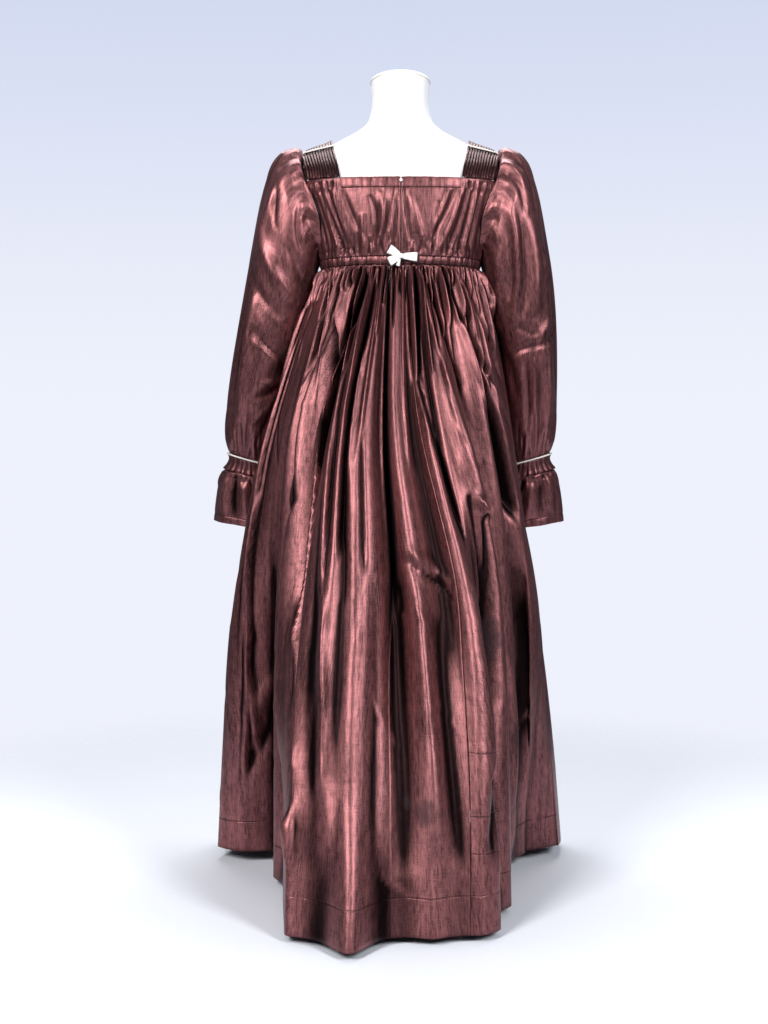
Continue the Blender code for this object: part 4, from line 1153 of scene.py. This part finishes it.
# The long folds: place and half width as shares of the hem, depth out of the ring, the heights
# between which a fold grows from nothing and those where it fades (below the hem: never)
FOLDS = table(
    "place   wide   depth   start  full   fade   gone",
    (0.030, 0.028, 0.030, 0.950, 0.350, -0.10, -0.20),
    (0.026, 0.014, 0.046, 0.250, 0.020, -0.10, -0.20),
    (-0.004, 0.011, -0.020, 1.060, 0.880, 0.46, 0.20),
    (0.058, 0.010, 0.014, 1.040, 0.800, 0.40, 0.25),
    (0.098, 0.014, -0.024, 1.060, 0.850, 0.30, 0.10),
    (0.118, 0.010, -0.022, 1.050, 0.850, 0.55, 0.40),
    (0.142, 0.013, 0.018, 1.040, 0.800, 0.35, 0.15),
    (0.168, 0.014, -0.018, 1.040, 0.800, 0.10, 0.00),
    (0.192, 0.012, 0.016, 1.030, 0.750, -0.10, -0.20),
    (0.232, 0.014, -0.010, 0.700, 0.400, -0.10, -0.20),
    (0.272, 0.016, 0.012, 1.000, 0.600, -0.10, -0.20),
    (0.312, 0.016, -0.012, 1.000, 0.500, -0.10, -0.20),
    (0.352, 0.018, 0.012, 1.000, 0.400, -0.10, -0.20),
    (0.400, 0.020, -0.012, 1.000, 0.400, -0.10, -0.20),
    (0.450, 0.022, 0.012, 1.000, 0.400, -0.10, -0.20),
    (-0.028, 0.013, 0.014, 1.040, 0.700, -0.10, -0.20),
    (-0.056, 0.011, -0.010, 1.040, 0.800, 0.50, 0.30),
    (-0.078, 0.012, 0.018, 1.040, 0.700, -0.10, -0.20),
    (-0.103, 0.012, -0.018, 0.700, 0.350, 0.10, 0.00),
    (-0.128, 0.013, 0.020, 1.040, 0.700, -0.10, -0.20),
    (-0.160, 0.011, -0.016, 1.040, 0.800, 0.20, 0.05),
    (-0.185, 0.012, 0.016, 1.040, 0.800, 0.10, 0.00),
    (-0.212, 0.013, -0.032, 1.060, 0.820, 0.45, 0.25),
    (-0.245, 0.014, 0.014, 1.030, 0.700, -0.10, -0.20),
    (-0.285, 0.015, -0.012, 1.000, 0.500, -0.10, -0.20),
    (-0.330, 0.017, 0.012, 1.000, 0.450, -0.10, -0.20),
    (-0.375, 0.019, -0.012, 1.000, 0.400, -0.10, -0.20),
    (-0.425, 0.021, 0.012, 1.000, 0.400, -0.10, -0.20),
    (-0.475, 0.020, -0.012, 1.000, 0.400, -0.10, -0.20),
)

# Folds that wander: half width as a share, depth, and the path as (height, share) from the top
WINDING = (
    (0.0066, -0.038, ((1.055, 0.068), (0.985, 0.080), (0.937, 0.096), (0.838, 0.099), (0.665, 0.100),
                      (0.483, 0.098), (0.324, 0.095), (0.162, 0.078))),
    (0.0050, -0.028, ((1.055, 0.090), (0.985, 0.102), (0.900, 0.115), (0.780, 0.118), (0.620, 0.118),
                      (0.480, 0.116))),
    (0.0026, 0.0140, ((1.055, 0.079), (0.960, 0.094), (0.860, 0.108), (0.720, 0.109), (0.560, 0.109),
                      (0.400, 0.108))),
    (0.0040, -0.015, ((1.040, 0.152), (0.985, 0.146), (0.932, 0.130), (0.890, 0.125), (0.813, 0.100),
                      (0.740, 0.094))),
    (0.0034, -0.016, ((1.055, 0.040), (0.960, 0.046), (0.860, 0.050), (0.720, 0.050), (0.560, 0.049))),
    (0.0075, -0.026, ((1.050, -0.172), (0.967, -0.186), (0.906, -0.222), (0.758, -0.233),
                      (0.600, -0.238))),
    (0.0042, -0.014, ((1.055, -0.086), (0.992, -0.088), (0.855, -0.074), (0.773, -0.084),
                      (0.708, -0.089), (0.580, -0.090))),
    (0.0034, -0.013, ((1.055, -0.130), (0.960, -0.136), (0.860, -0.152), (0.700, -0.160))),
    (0.0055, -0.012, ((0.720, -0.171), (0.626, -0.126), (0.463, -0.115), (0.336, -0.114),
                      (0.231, -0.082), (0.100, -0.073))),
    (0.0034, 0.011, ((0.480, 0.108), (0.349, 0.105), (0.229, 0.097), (0.100, 0.082))),
    (0.0040, 0.009, ((0.900, 0.079), (0.700, 0.074), (0.528, 0.068), (0.354, 0.056), (0.200, 0.052))),
    (0.0024, 0.0050, ((0.960, 0.262), (0.825, 0.262), (0.657, 0.259), (0.405, 0.254), (0.120, 0.270))),
    (0.0060, -0.009, ((1.030, 0.190), (0.878, 0.183), (0.800, 0.152), (0.658, 0.138), (0.460, 0.185))),
)
# The valley along the slit: half width as a share, depth, and the heights where it grows and fades
SLIT_FOLD = (0.0034, -0.034)
SLIT_GROWS = (1.062, 1.035)
SLIT_FADES = (0.62, 0.44)

# Creases of the back: across in metres of hem cloth from centre back, then heights
SKIRT_CREASES = table(
    CREASE,
    (0.363, 1.045, 0.300, 0.900, 0.000, 0.012, -0.012),
    (0.420, 1.040, 0.400, 0.860, 0.000, 0.013, -0.012),
    (0.225, 1.055, 0.220, 0.960, 0.000, 0.010, -0.010),
    (0.080, 1.055, 0.100, 0.900, 0.004, 0.010, -0.010),
    (0.120, 1.055, 0.132, 0.780, 0.000, 0.009, 0.008),
    (0.045, 1.055, 0.070, 0.720, 0.004, 0.009, 0.007),
    (0.330, 1.050, 0.262, 0.700, 0.004, 0.010, 0.009),
    (-0.139, 1.055, -0.150, 0.850, 0.000, 0.008, -0.011),
    (-0.195, 1.050, -0.195, 0.620, 0.014, 0.014, -0.012),
    (-0.105, 1.055, -0.098, 0.700, 0.004, 0.010, 0.008),
    (-0.168, 1.055, -0.176, 0.760, 0.000, 0.010, 0.009),
    (-0.250, 1.040, -0.380, 0.840, 0.010, 0.009, -0.012),
    (-0.225, 1.050, -0.290, 0.830, 0.006, 0.010, 0.009),
    (-0.510, 1.050, -0.665, 0.860, 0.004, 0.012, -0.014),
    (-0.515, 0.890, -0.680, 0.780, 0.004, 0.010, -0.012),
    (-0.455, 1.020, -0.520, 0.700, 0.010, 0.012, 0.010),
    (-0.395, 1.045, -0.440, 0.780, 0.004, 0.010, 0.010),
    (-0.255, 0.672, -0.256, 0.200, 0.004, 0.007, -0.014),
    (-0.262, 0.668, -0.345, 0.630, -0.010, 0.007, 0.010),
    (-0.280, 0.660, -0.390, 0.655, -0.014, 0.009, -0.009),
    (-0.024, 0.572, -0.152, 0.505, 0.004, 0.005, -0.0040),
    (-0.030, 0.590, -0.150, 0.525, 0.008, 0.010, 0.0045),
    (-0.016, 0.600, -0.030, 0.480, 0.000, 0.010, -0.009),
    (-0.012, 0.520, -0.022, 0.100, 0.004, 0.028, -0.012),
    (-0.062, 0.540, -0.084, 0.120, 0.004, 0.016, 0.009),
    (-0.105, 0.480, -0.118, 0.100, 0.000, 0.014, -0.006),
    (0.034, 0.560, 0.032, 0.100, 0.004, 0.014, -0.007),
    (0.082, 0.640, 0.066, 0.080, 0.000, 0.016, 0.005),
    (0.130, 0.560, 0.100, 0.100, 0.000, 0.014, 0.006),
    (0.146, 0.800, 0.152, 0.420, 0.000, 0.010, -0.008),
    (0.170, 0.760, 0.130, 0.340, 0.000, 0.012, 0.008),
    (0.106, 0.720, 0.100, 0.500, 0.000, 0.009, -0.007),
    (0.060, 0.780, 0.056, 0.540, 0.000, 0.008, -0.006),
    (0.213, 0.340, 0.165, 0.110, 0.004, 0.012, 0.013),
    (0.242, 0.300, 0.188, 0.120, 0.004, 0.010, -0.010),
    (0.560, 0.980, 0.600, 0.300, 0.000, 0.005, 0.0035),
    (0.600, 0.825, 0.580, 0.150, 0.004, 0.008, 0.0050),
    (0.640, 0.930, 0.640, 0.420, 0.000, 0.014, -0.0060),
    (0.520, 0.560, 0.545, 0.120, 0.010, 0.020, -0.0080),
    (0.470, 0.420, 0.600, 0.250, 0.010, 0.018, 0.0070),
    (0.530, 0.300, 0.640, 0.120, 0.010, 0.014, -0.0060),
    (-0.440, 0.500, -0.470, 0.080, 0.008, 0.020, -0.0080),
    (-0.520, 0.640, -0.560, 0.100, 0.010, 0.020, 0.0080),
    (-0.620, 0.720, -0.640, 0.180, 0.010, 0.022, -0.0090),
    (-0.385, 0.440, -0.420, 0.150, 0.006, 0.012, 0.0070),
    (-0.185, 0.430, -0.180, 0.080, 0.004, 0.010, 0.0045),
)
GATHERS_BEHIND = small_creases(51, 74, (-0.80, 0.80), 1.060, (-0.030, -0.260), 0.008,
                               (0.0060, 0.0110), (0.0060, 0.0130))
GATHERS_BEFORE = small_creases(53, 40, (-GIRTH / 2, GIRTH / 2), 1.060, (-0.030, -0.240), 0.010,
                               (0.0080, 0.0130), (0.0020, 0.0056))
PUCKERS = small_creases(57, 210, (-GIRTH / 2, GIRTH / 2), 1.060, (-0.010, -0.050), 0.003,
                        (0.0030, 0.0050), (0.0016, 0.0040))


def storage_creases(seed, count):
    """Short crisp creases all over the skirt, mostly aslant, from folding away."""
    chance = np.random.default_rng(seed)
    start = chance.uniform(-1.13, 1.13, count)
    top = chance.uniform(0.06, 0.95, count)
    angle = chance.normal(0, 0.7, count)
    length = chance.uniform(0.03, 0.12, count)
    sign = np.where(chance.random(count) < 0.5, -1.0, 1.0)
    return dict(zip(CREASE.split(), (
        start, top, start + length * np.sin(angle), top - length * np.cos(angle),
        chance.normal(0, 0.004, count), chance.uniform(0.004, 0.009, count),
        sign * chance.uniform(0.0008, 0.0022, count))))


STORAGE = storage_creases(61, 150)


def skirt_half_ring(z, side):
    """One side's ring from centre back to centre front, at height z, before the lean."""
    half, mid_y, back, front, reach, train = (
        smooth(z, SKIRT["z"], SKIRT[key]) for key in ("half", "mid_y", "back", "front", "reach", "train"))
    edge = TRAIN_EDGE_LEFT if side > 0 else TRAIN_EDGE_RIGHT
    train = train + (TRAIN_LEFT if side > 0 else 0.0)
    phi = np.linspace(0, math.pi, 400)
    x = half * np.abs(np.sin(phi)) ** (2 / SKIRT_SQUARE)
    depth = np.where(phi < math.pi / 2, back, front)
    lobe = reach * (1 - ramp(train - edge, train + edge, x)) * (phi < math.pi / 2)
    y = mid_y + depth * power(np.cos(phi), 2 / SKIRT_SQUARE) + lobe
    return side * x, y


def waist_share(cloth_share, z):
    """Share of the ring at which a share of the cloth lies, gathered towards the waist."""
    even = ramp(WAIST + 0.05, GATHER_END, z)
    moved = cloth_share + GATHER_SHIFT * (1 - even) * (1 - np.abs(cloth_share) / 0.5)
    size = np.abs(moved)
    gathered = smooth(size, GATHER["cloth"], GATHER["waist"])
    return np.sign(moved) * (gathered + (size - gathered) * even)


def fold_height(share, z):
    """Sum of the long folds, each a bell across the cloth that grows and fades with height."""
    height = 0.0 * share
    for middle, wide, depth, start, full, fade, gone in zip(*FOLDS.values()):
        grown = ramp(start, full, z) * (1 - ramp(fade, gone, z))
        height += depth * grown * np.exp(-((share - middle) / wide) ** 2)
    return height


def winding_height(share, z):
    """Sum of the wandering folds: bells about paths, fading at both of their ends."""
    height = 0.0 * share
    for wide, depth, path in WINDING:
        levels, places = np.array(path[::-1]).T
        grown = ramp(levels[-1], levels[-1] - FOLD_FADE, z) * ramp(levels[0], levels[0] + FOLD_FADE, z)
        height += depth * grown * np.exp(-((share - np.interp(z, levels, places)) / wide) ** 2)
    return height


def skirt_grid(share, z, edge, slit=None):
    """The skirt's cloth: places on the ring, moved out by folds and creases.

    share holds a row of shares of the hem for every height in z. edge is 1 on a column that starts
    a piece and -1 on one that ends it. slit gives the distance of each column from the slit. Also
    returned: the cloth's own measures, and painted shade for the deep wandering folds and the slit's
    valley, from 0 to 1.
    """
    across = share * GIRTH
    level = z[:, None] + 0 * share
    wandering = winding_height(share, level)
    height = fold_height(share, level) + wandering + creased(across, level, SKIRT_CREASES)
    height += creased(across, level, STORAGE)
    fine = creased(across, level, GATHERS_BEHIND) if np.abs(share).min() < BEHIND else 0.0
    fine = fine + (creased(across, level, GATHERS_BEFORE) if np.abs(share).max() > BEHIND else 0.0)
    fine = fine + creased(across, level, PUCKERS)
    height += fine * ramp(SKIRT_TOP, SKIRT_TOP - 0.006, level)
    if slit is not None:
        wide, depth = SLIT_FOLD
        grown = ramp(*SLIT_GROWS, level) * (1 - ramp(*SLIT_FADES, level))
        valley = depth * grown * np.exp(-(slit / wide) ** 2)
        wandering += valley
        height += valley
    grid = np.zeros(share.shape + (3,))
    for row, height_of_row in enumerate(z):
        grid[row, :, :2] = on_ring(share[row], height_of_row, edge, height[row])
    grid[..., 0] += lean(level)
    down = (WAIST - level) / (WAIST - HEM)
    grid[..., 2] = level + HEM_RISE * down * ramp(*HEM_RISE_FROM, np.abs(share))
    # The last value is painted shade, darkest where a wandering fold or the slit's valley is deepest.
    return grid, across, level - HEM, np.clip(-wandering / FOLD_SHADE_DEPTH - FOLD_SHADE_START, 0.0, 1.0)


def on_ring(share, z, edge, height):
    """Points of one row: found by arc length on the ring, then moved along the ring's normal."""
    place_on_ring = waist_share(share, z)
    points = np.zeros((len(share), 2))
    for side in (1, -1):
        x, y = skirt_half_ring(z, side)
        length = np.concatenate([[0.0], np.cumsum(np.hypot(np.diff(x), np.diff(y)))])
        placed = place_on_ring + edge * SEAM_GAP / (4 * length[-1])
        mine = placed >= 0 if side > 0 else placed < 0
        where = 2 * np.abs(placed[mine])
        along = length / length[-1]
        normal_x = -np.interp(where, along, np.gradient(y, length) * side)
        normal_y = np.interp(where, along, np.gradient(x, length) * side)
        points[mine, 0] = np.interp(where, along, x) + normal_x * height[mine]
        points[mine, 1] = np.interp(where, along, y) + normal_y * height[mine]
    return points


def seam_edges(columns):
    """Marks of a piece's first and last column."""
    edge = np.zeros(columns)
    edge[0] = 1.0
    edge[-1] = -1.0
    return edge


def heights(rows):
    """Heights from the waist seam to the hem, closer together near the waist."""
    return SKIRT_TOP - (SKIRT_TOP - HEM) * np.linspace(0, 1, rows) ** 1.2


def seam_line(z, name):
    """Share of the hem at which a seam or the slit runs, at height z."""
    return smooth(z, SEAM_LINES["z"], SEAM_LINES[name])


def between(start, end, columns):
    """Rows of evenly spaced shares between two edges that change with height."""
    return start[:, None] + (end - start)[:, None] * np.linspace(0, 1, columns)


ALL_ROUND = (HEM_DEPTH, -3.0, 3.0)
skirt_silk = silk("silk_skirt", lines=(ALL_ROUND,), marks=(
    (-0.060, 0.176, 0.034, 0.030), (-0.030, 0.190, 0.020, 0.016)))
pieced_silk = silk("silk_skirt_pieced", lines=(
    ALL_ROUND, (0.262, -0.235, -0.130), (0.170, -0.240, -0.130), (0.116, -0.235, -0.130)), marks=(
    (-0.268, 0.420, 0.022, 0.060), (-0.300, 0.330, 0.016, 0.050), (-0.430, 0.240, 0.040, 0.070)))

z = heights(188)
right = between(seam_line(z, "right"), seam_line(z, "slit") - 1e-7, RIGHT_OF_SLIT)
left = between(seam_line(z, "slit") + 1e-7, seam_line(z, "left"), LEFT_OF_SLIT)
share = np.concatenate([right, left], axis=1)
edge = np.concatenate([seam_edges(RIGHT_OF_SLIT), seam_edges(LEFT_OF_SLIT)])
grid, across, down, dark = skirt_grid(share, z, edge, share - seam_line(z, "slit")[:, None])
back = surface("skirt_breadth_back", grid, across, down, shade=SKIRT_SHADE, dark=dark)


def open_slit(piece, column, columns, levels):
    """Take out the faces between two neighbouring columns above the foot of the slit."""
    rows = np.nonzero(levels[1:] > SLIT_END)[0]
    work = bmesh.new()
    work.from_mesh(piece.data)
    work.faces.ensure_lookup_table()
    gone = [work.faces[int(row) * (columns - 1) + column] for row in rows]
    bmesh.ops.delete(work, geom=gone, context="FACES_ONLY")
    work.to_mesh(piece.data)
    work.free()


open_slit(back, RIGHT_OF_SLIT - 1, RIGHT_OF_SLIT + LEFT_OF_SLIT, z)
thicken(back, WALL)
place(back, "silk", skirt_silk, "skirt_back")

z = heights(176)
share = between(0 * z - SEAM_FRONT, seam_line(z, "right"), 250)
grid, across, down, dark = skirt_grid(share, z, seam_edges(250))
piece = surface("skirt_breadth_right", grid, across, down, wall=WALL, shade=SKIRT_SHADE, dark=dark)
place(piece, "silk", pieced_silk, "skirt_side_right")

share = between(seam_line(z, "left"), 0 * z + SEAM_FRONT, 130)
grid, across, down, dark = skirt_grid(share, z, seam_edges(130))
piece = surface("skirt_breadth_left", grid, across, down, wall=WALL, shade=SKIRT_SHADE, dark=dark)
place(piece, "silk", skirt_silk, "skirt_side_left")

z = heights(130)
row = np.concatenate([np.linspace(SEAM_FRONT, CENTRE_FRONT, 92),
                      np.linspace(-CENTRE_FRONT, -SEAM_FRONT, 92)])
share = row[None, :] + 0 * z[:, None]
grid, across, down, dark = skirt_grid(share, z, seam_edges(184))
across = np.where(across < 0, across + GIRTH, across)
piece = surface("skirt_breadth_front", grid, across, down, wall=WALL, shade=SKIRT_SHADE, dark=dark)
place(piece, "silk", skirt_silk, "skirt_front")


# ---------------------------------------------------------------- drawstring bow and button
# The drawstring is a white cotton tape. It leaves the casing at centre back and is tied there in a
# small flat bow, with one short end. A little linen button closes the neckline band.

TAPE = 0.014
TAPE_WALL = 0.0007
TIE = (0.0085, 0.0085, 0.0090)    # width, depth and height of the knot
TIE_SQUARE = 0.75
BOW_OUT = 0.0085
BOW_UP = 0.006
LOOP_START = 0.0005
LOOPS = table(
    "length height turn   twist",
    (0.0225, 0.0042, 30.0, 0.25),
    (0.0215, 0.0038, -26.0, -0.30),
    (0.0270, 0.0042, 184.0, 0.22),
)


def tape_cotton():
    """White tape: a plain weave of ribs across it, and a soft unevenness."""
    finish = Finish("tape_cotton", {"Specular IOR Level": 0.25, "Sheen Weight": 0.2})
    here, cloth = finish.coordinates()
    rib = finish.noise(cloth, 1.0, (900, 2600, 1))
    cloud = finish.noise(here, 150.0)
    colour = finish.mix(0.5 * rib + 0.5 * cloud, (0.74, 0.72, 0.67, 1), (0.93, 0.92, 0.89, 1))
    finish.fill(finish.shader.inputs["Base Color"], colour)
    finish.fill(finish.shader.inputs["Roughness"], 0.7 + 0.2 * rib)
    finish.relief(rib + 0.6 * cloud, 0.3, 0.0004)
    return finish.material


def loop_grid(middle, length, height, turn, twist):
    """A tape bent into a drop-shaped loop: out and back along its turn, pinched at the knot."""
    t = np.linspace(0.02, 0.98, 60)
    along = LOOP_START + length * np.sin(math.pi * t) ** 0.7
    aside = height * np.sin(2 * math.pi * t) * (0.6 + 0.4 * np.sin(math.pi * t))
    half = TAPE / 2 * (0.42 + 0.70 * np.sin(math.pi * t) ** 0.45)
    rolled = twist * np.sin(math.pi * t)
    share = np.linspace(-1, 1, 9)
    cosine, sine = math.cos(math.radians(turn)), math.sin(math.radians(turn))
    outwards = np.array([cosine, 0.0, sine])
    sideways = np.array([-sine, 0.0, cosine])
    depth = np.array([0.0, 1.0, 0.0])
    centre = middle + along[:, None] * outwards + aside[:, None] * depth
    swing = sideways * np.cos(rolled)[:, None] + depth * np.sin(rolled)[:, None]
    cup = 0.0006 * (1 - share**2) + 0.0002 * np.sin(9 * share)
    grid = centre[None] + share[:, None, None] * half[None, :, None] * swing[None]
    grid = grid + cup[:, None, None] * depth * np.sign(aside)[None, :, None]
    measure = length_along(centre)
    return grid, share[:, None] * TAPE / 2 + 0 * measure, 0 * share[:, None] + measure


def pillow(middle, size, squareness):
    """Super-ellipsoid: both of its sections are super-ellipses, pinched slightly at the waist."""
    phi = np.linspace(0, 2 * math.pi, 49)[None, :]
    theta = np.linspace(math.pi / 2, -math.pi / 2, 25)[:, None]
    flat = power(np.cos(theta), squareness)
    pinch = 1 - 0.10 * np.exp(-(np.sin(theta) / 0.35) ** 2)
    points = np.stack([flat * power(np.sin(phi), squareness) * pinch,
                       flat * power(np.cos(phi), squareness) + 0 * phi,
                       power(np.sin(theta), squareness) + 0 * phi], axis=-1)
    return middle + points * np.array(size) / 2


cotton_tape = tape_cotton()
face = body("back", WAIST) + CLOTH_OUT
bow_middle = np.array([lean(WAIST), face + BOW_OUT, WAIST + BOW_UP])
for name, length, height, turn, twist in zip(("left", "low", "right"), *LOOPS.values()):
    grid, across, down = loop_grid(bow_middle, length, height, turn, twist)
    piece = surface("bow_of_tape_" + name, grid, across, down, wall=TAPE_WALL)
    place(piece, "tape", cotton_tape, "bow_loop_" + name)

t = np.linspace(0, 1, 24)[None, :, None]
share = np.linspace(-1, 1, 7)[:, None, None]
foot = bow_middle + np.array([0.002, -0.002, -0.0050])
fall = np.array([0.004, 0.002, -0.0115]) * t + np.array([0.0, 0.0012, 0.0]) * np.sin(5 * t)
grid = foot + fall + share * np.array([0.0032, 0.0, 0.0010]) * (0.6 + 0.4 * t)
across, down = np.meshgrid(np.linspace(0, 0.013, 24), np.linspace(0, 0.007, 7))
piece = surface("bow_end", grid, down, across, wall=TAPE_WALL)
place(piece, "tape", cotton_tape, "bow_tail")

place(surface("bow_tie", pillow(bow_middle, TIE, TIE_SQUARE), joined=True),
      "tape", cotton_tape, "bow_knot")

BUTTON_RADIUS = 0.0026
BUTTON_HEIGHT = 0.0012
button_z = NECK_BACK - 0.0065
button_y = body("back", button_z) + BAND_OUT + GAP
profile = [(0.0, BUTTON_HEIGHT), (0.0008, BUTTON_HEIGHT * 0.80), (0.0014, BUTTON_HEIGHT * 0.85),
           (0.0020, BUTTON_HEIGHT), (BUTTON_RADIUS * 0.94, BUTTON_HEIGHT * 0.8),
           (BUTTON_RADIUS, BUTTON_HEIGHT * 0.4), (BUTTON_RADIUS * 0.9, 0.0), (0.0, 0.0)]
disc = turned(profile, 33)
disc = np.stack([disc[..., 0], disc[..., 2], -disc[..., 1]], axis=-1)
piece = surface("button_of_neck", disc + np.array([lean(button_z), button_y, button_z]), joined=True)
place(piece, "tape", cotton_tape, "neck_button")


# ---------------------------------------------------------------- studio
# A pale floor that ends in a pale blue-white surround, two large soft boxes behind the camera's
# shoulders, one more overhead, and a camera at chest height behind the gown.

FLOOR_RADIUS = 1.7
FLOOR_FADE = (0.80, 1.60)    # the paper fades into the surround between these radii
AT_FLOOR = (0.86, 0.885, 0.975, 1)
OVERHEAD = (0.62, 0.68, 0.87, 1)
OVERHEAD_FROM = 0.36         # height of the direction, from 0 level to 1 straight up
FILL = (0.72, 0.80, 1.0, 1)
FILL_STRENGTH = 0.13
CAMERA_AT = np.array([0.0099, 2.56, 0.774])
CAMERA_DOWN = 3.3            # degrees below level


def floor_paper():
    """White paper, a little uneven, that fades into the surround away from the gown."""
    finish = Finish("floor_paper", {"Specular IOR Level": 0.2})
    here, _ = finish.coordinates()
    cloud = finish.noise(here, 1.3, detail=3.0)
    grain = finish.noise(here, 60.0, detail=3.0)
    colour = finish.mix(0.7 * cloud + 0.3 * grain, (0.68, 0.71, 0.78, 1), (0.76, 0.775, 0.81, 1))
    finish.fill(finish.shader.inputs["Base Color"], colour)
    finish.fill(finish.shader.inputs["Roughness"], 0.75 + 0.15 * grain)
    finish.fill(finish.shader.inputs["Alpha"], 1.0 - finish.attribute("fade"))
    finish.relief(grain, 0.1, 0.0006)
    return finish.material


radius = np.concatenate([[0.0], np.linspace(0.2, FLOOR_RADIUS, 31)])[:, None]
turn = np.linspace(0, 2 * math.pi, 65)[None, :]
disc = np.stack([radius * np.sin(turn), radius * np.cos(turn), 0 * radius * turn], axis=-1)
floor = surface("floor", disc, joined=True)
distance = np.array([point.co.xy.length for point in floor.data.vertices])
fade = floor.data.attributes.new("fade", "FLOAT", "POINT")
fade.data.foreach_set("value", ramp(*FLOOR_FADE, distance))
floor.data.materials.append(floor_paper())


def soft_box(name, position, aim, size, watts, colour):
    """An area light at a position, turned to face a point."""
    light = bpy.data.lights.new(name, "AREA")
    light.shape = "RECTANGLE"
    light.size, light.size_y = size
    light.energy = watts
    light.color = colour
    made = bpy.data.objects.new(name, light)
    made.location = position + GOWN_MIDDLE
    towards = np.array(aim) - np.array(position)
    flat = math.hypot(towards[0], towards[1])
    made.rotation_euler = (math.atan2(flat, -towards[2]), 0.0, math.atan2(-towards[0], towards[1]))
    bpy.context.scene.collection.objects.link(made)


soft_box("box_left", (1.55, 2.50, 2.30), (0.0, 0.1, 0.75), (0.9, 1.3), 112, (1.0, 0.98, 0.98))
soft_box("box_right", (-1.75, 2.40, 2.10), (0.0, 0.1, 0.75), (0.7, 1.2), 84, (0.97, 0.98, 1.0))
soft_box("box_top", (0.0, -0.9, 2.9), (0.0, 0.3, 0.0), (1.6, 1.2), 74, (0.97, 0.985, 1.0))

world = bpy.data.worlds.new("surround")
world.use_nodes = True
bpy.context.scene.world = world
nodes, links = world.node_tree.nodes, world.node_tree.links
direction = nodes.new("ShaderNodeTexCoord")
height = nodes.new("ShaderNodeSeparateXYZ")
links.new(direction.outputs["Generated"], height.inputs[0])
rise = nodes.new("ShaderNodeMapRange")
rise.interpolation_type = "SMOOTHSTEP"
rise.inputs["From Min"].default_value = 0.0
rise.inputs["From Max"].default_value = OVERHEAD_FROM
links.new(height.outputs["Z"], rise.inputs["Value"])
tint = nodes.new("ShaderNodeMix")
tint.data_type = "RGBA"
tint.inputs[6].default_value = AT_FLOOR
tint.inputs[7].default_value = OVERHEAD
links.new(rise.outputs[0], tint.inputs[0])
shown = nodes["Background"]
links.new(tint.outputs[2], shown.inputs["Color"])
fill = nodes.new("ShaderNodeBackground")
fill.inputs["Color"].default_value = FILL
fill.inputs["Strength"].default_value = FILL_STRENGTH
path = nodes.new("ShaderNodeLightPath")
blend = nodes.new("ShaderNodeMixShader")
links.new(path.outputs["Is Camera Ray"], blend.inputs[0])
links.new(fill.outputs[0], blend.inputs[1])
links.new(shown.outputs[0], blend.inputs[2])
links.new(blend.outputs[0], nodes["World Output"].inputs["Surface"])

lens = bpy.data.cameras.new("camera")
lens.lens = 50.0
lens.sensor_width = 36.0
camera = bpy.data.objects.new("camera", lens)
camera.location = CAMERA_AT + GOWN_MIDDLE
camera.rotation_euler = (math.radians(90 - CAMERA_DOWN), 0.0, math.radians(180))
bpy.context.scene.collection.objects.link(camera)
bpy.context.scene.camera = camera
bpy.context.scene.view_settings.view_transform = "Standard"
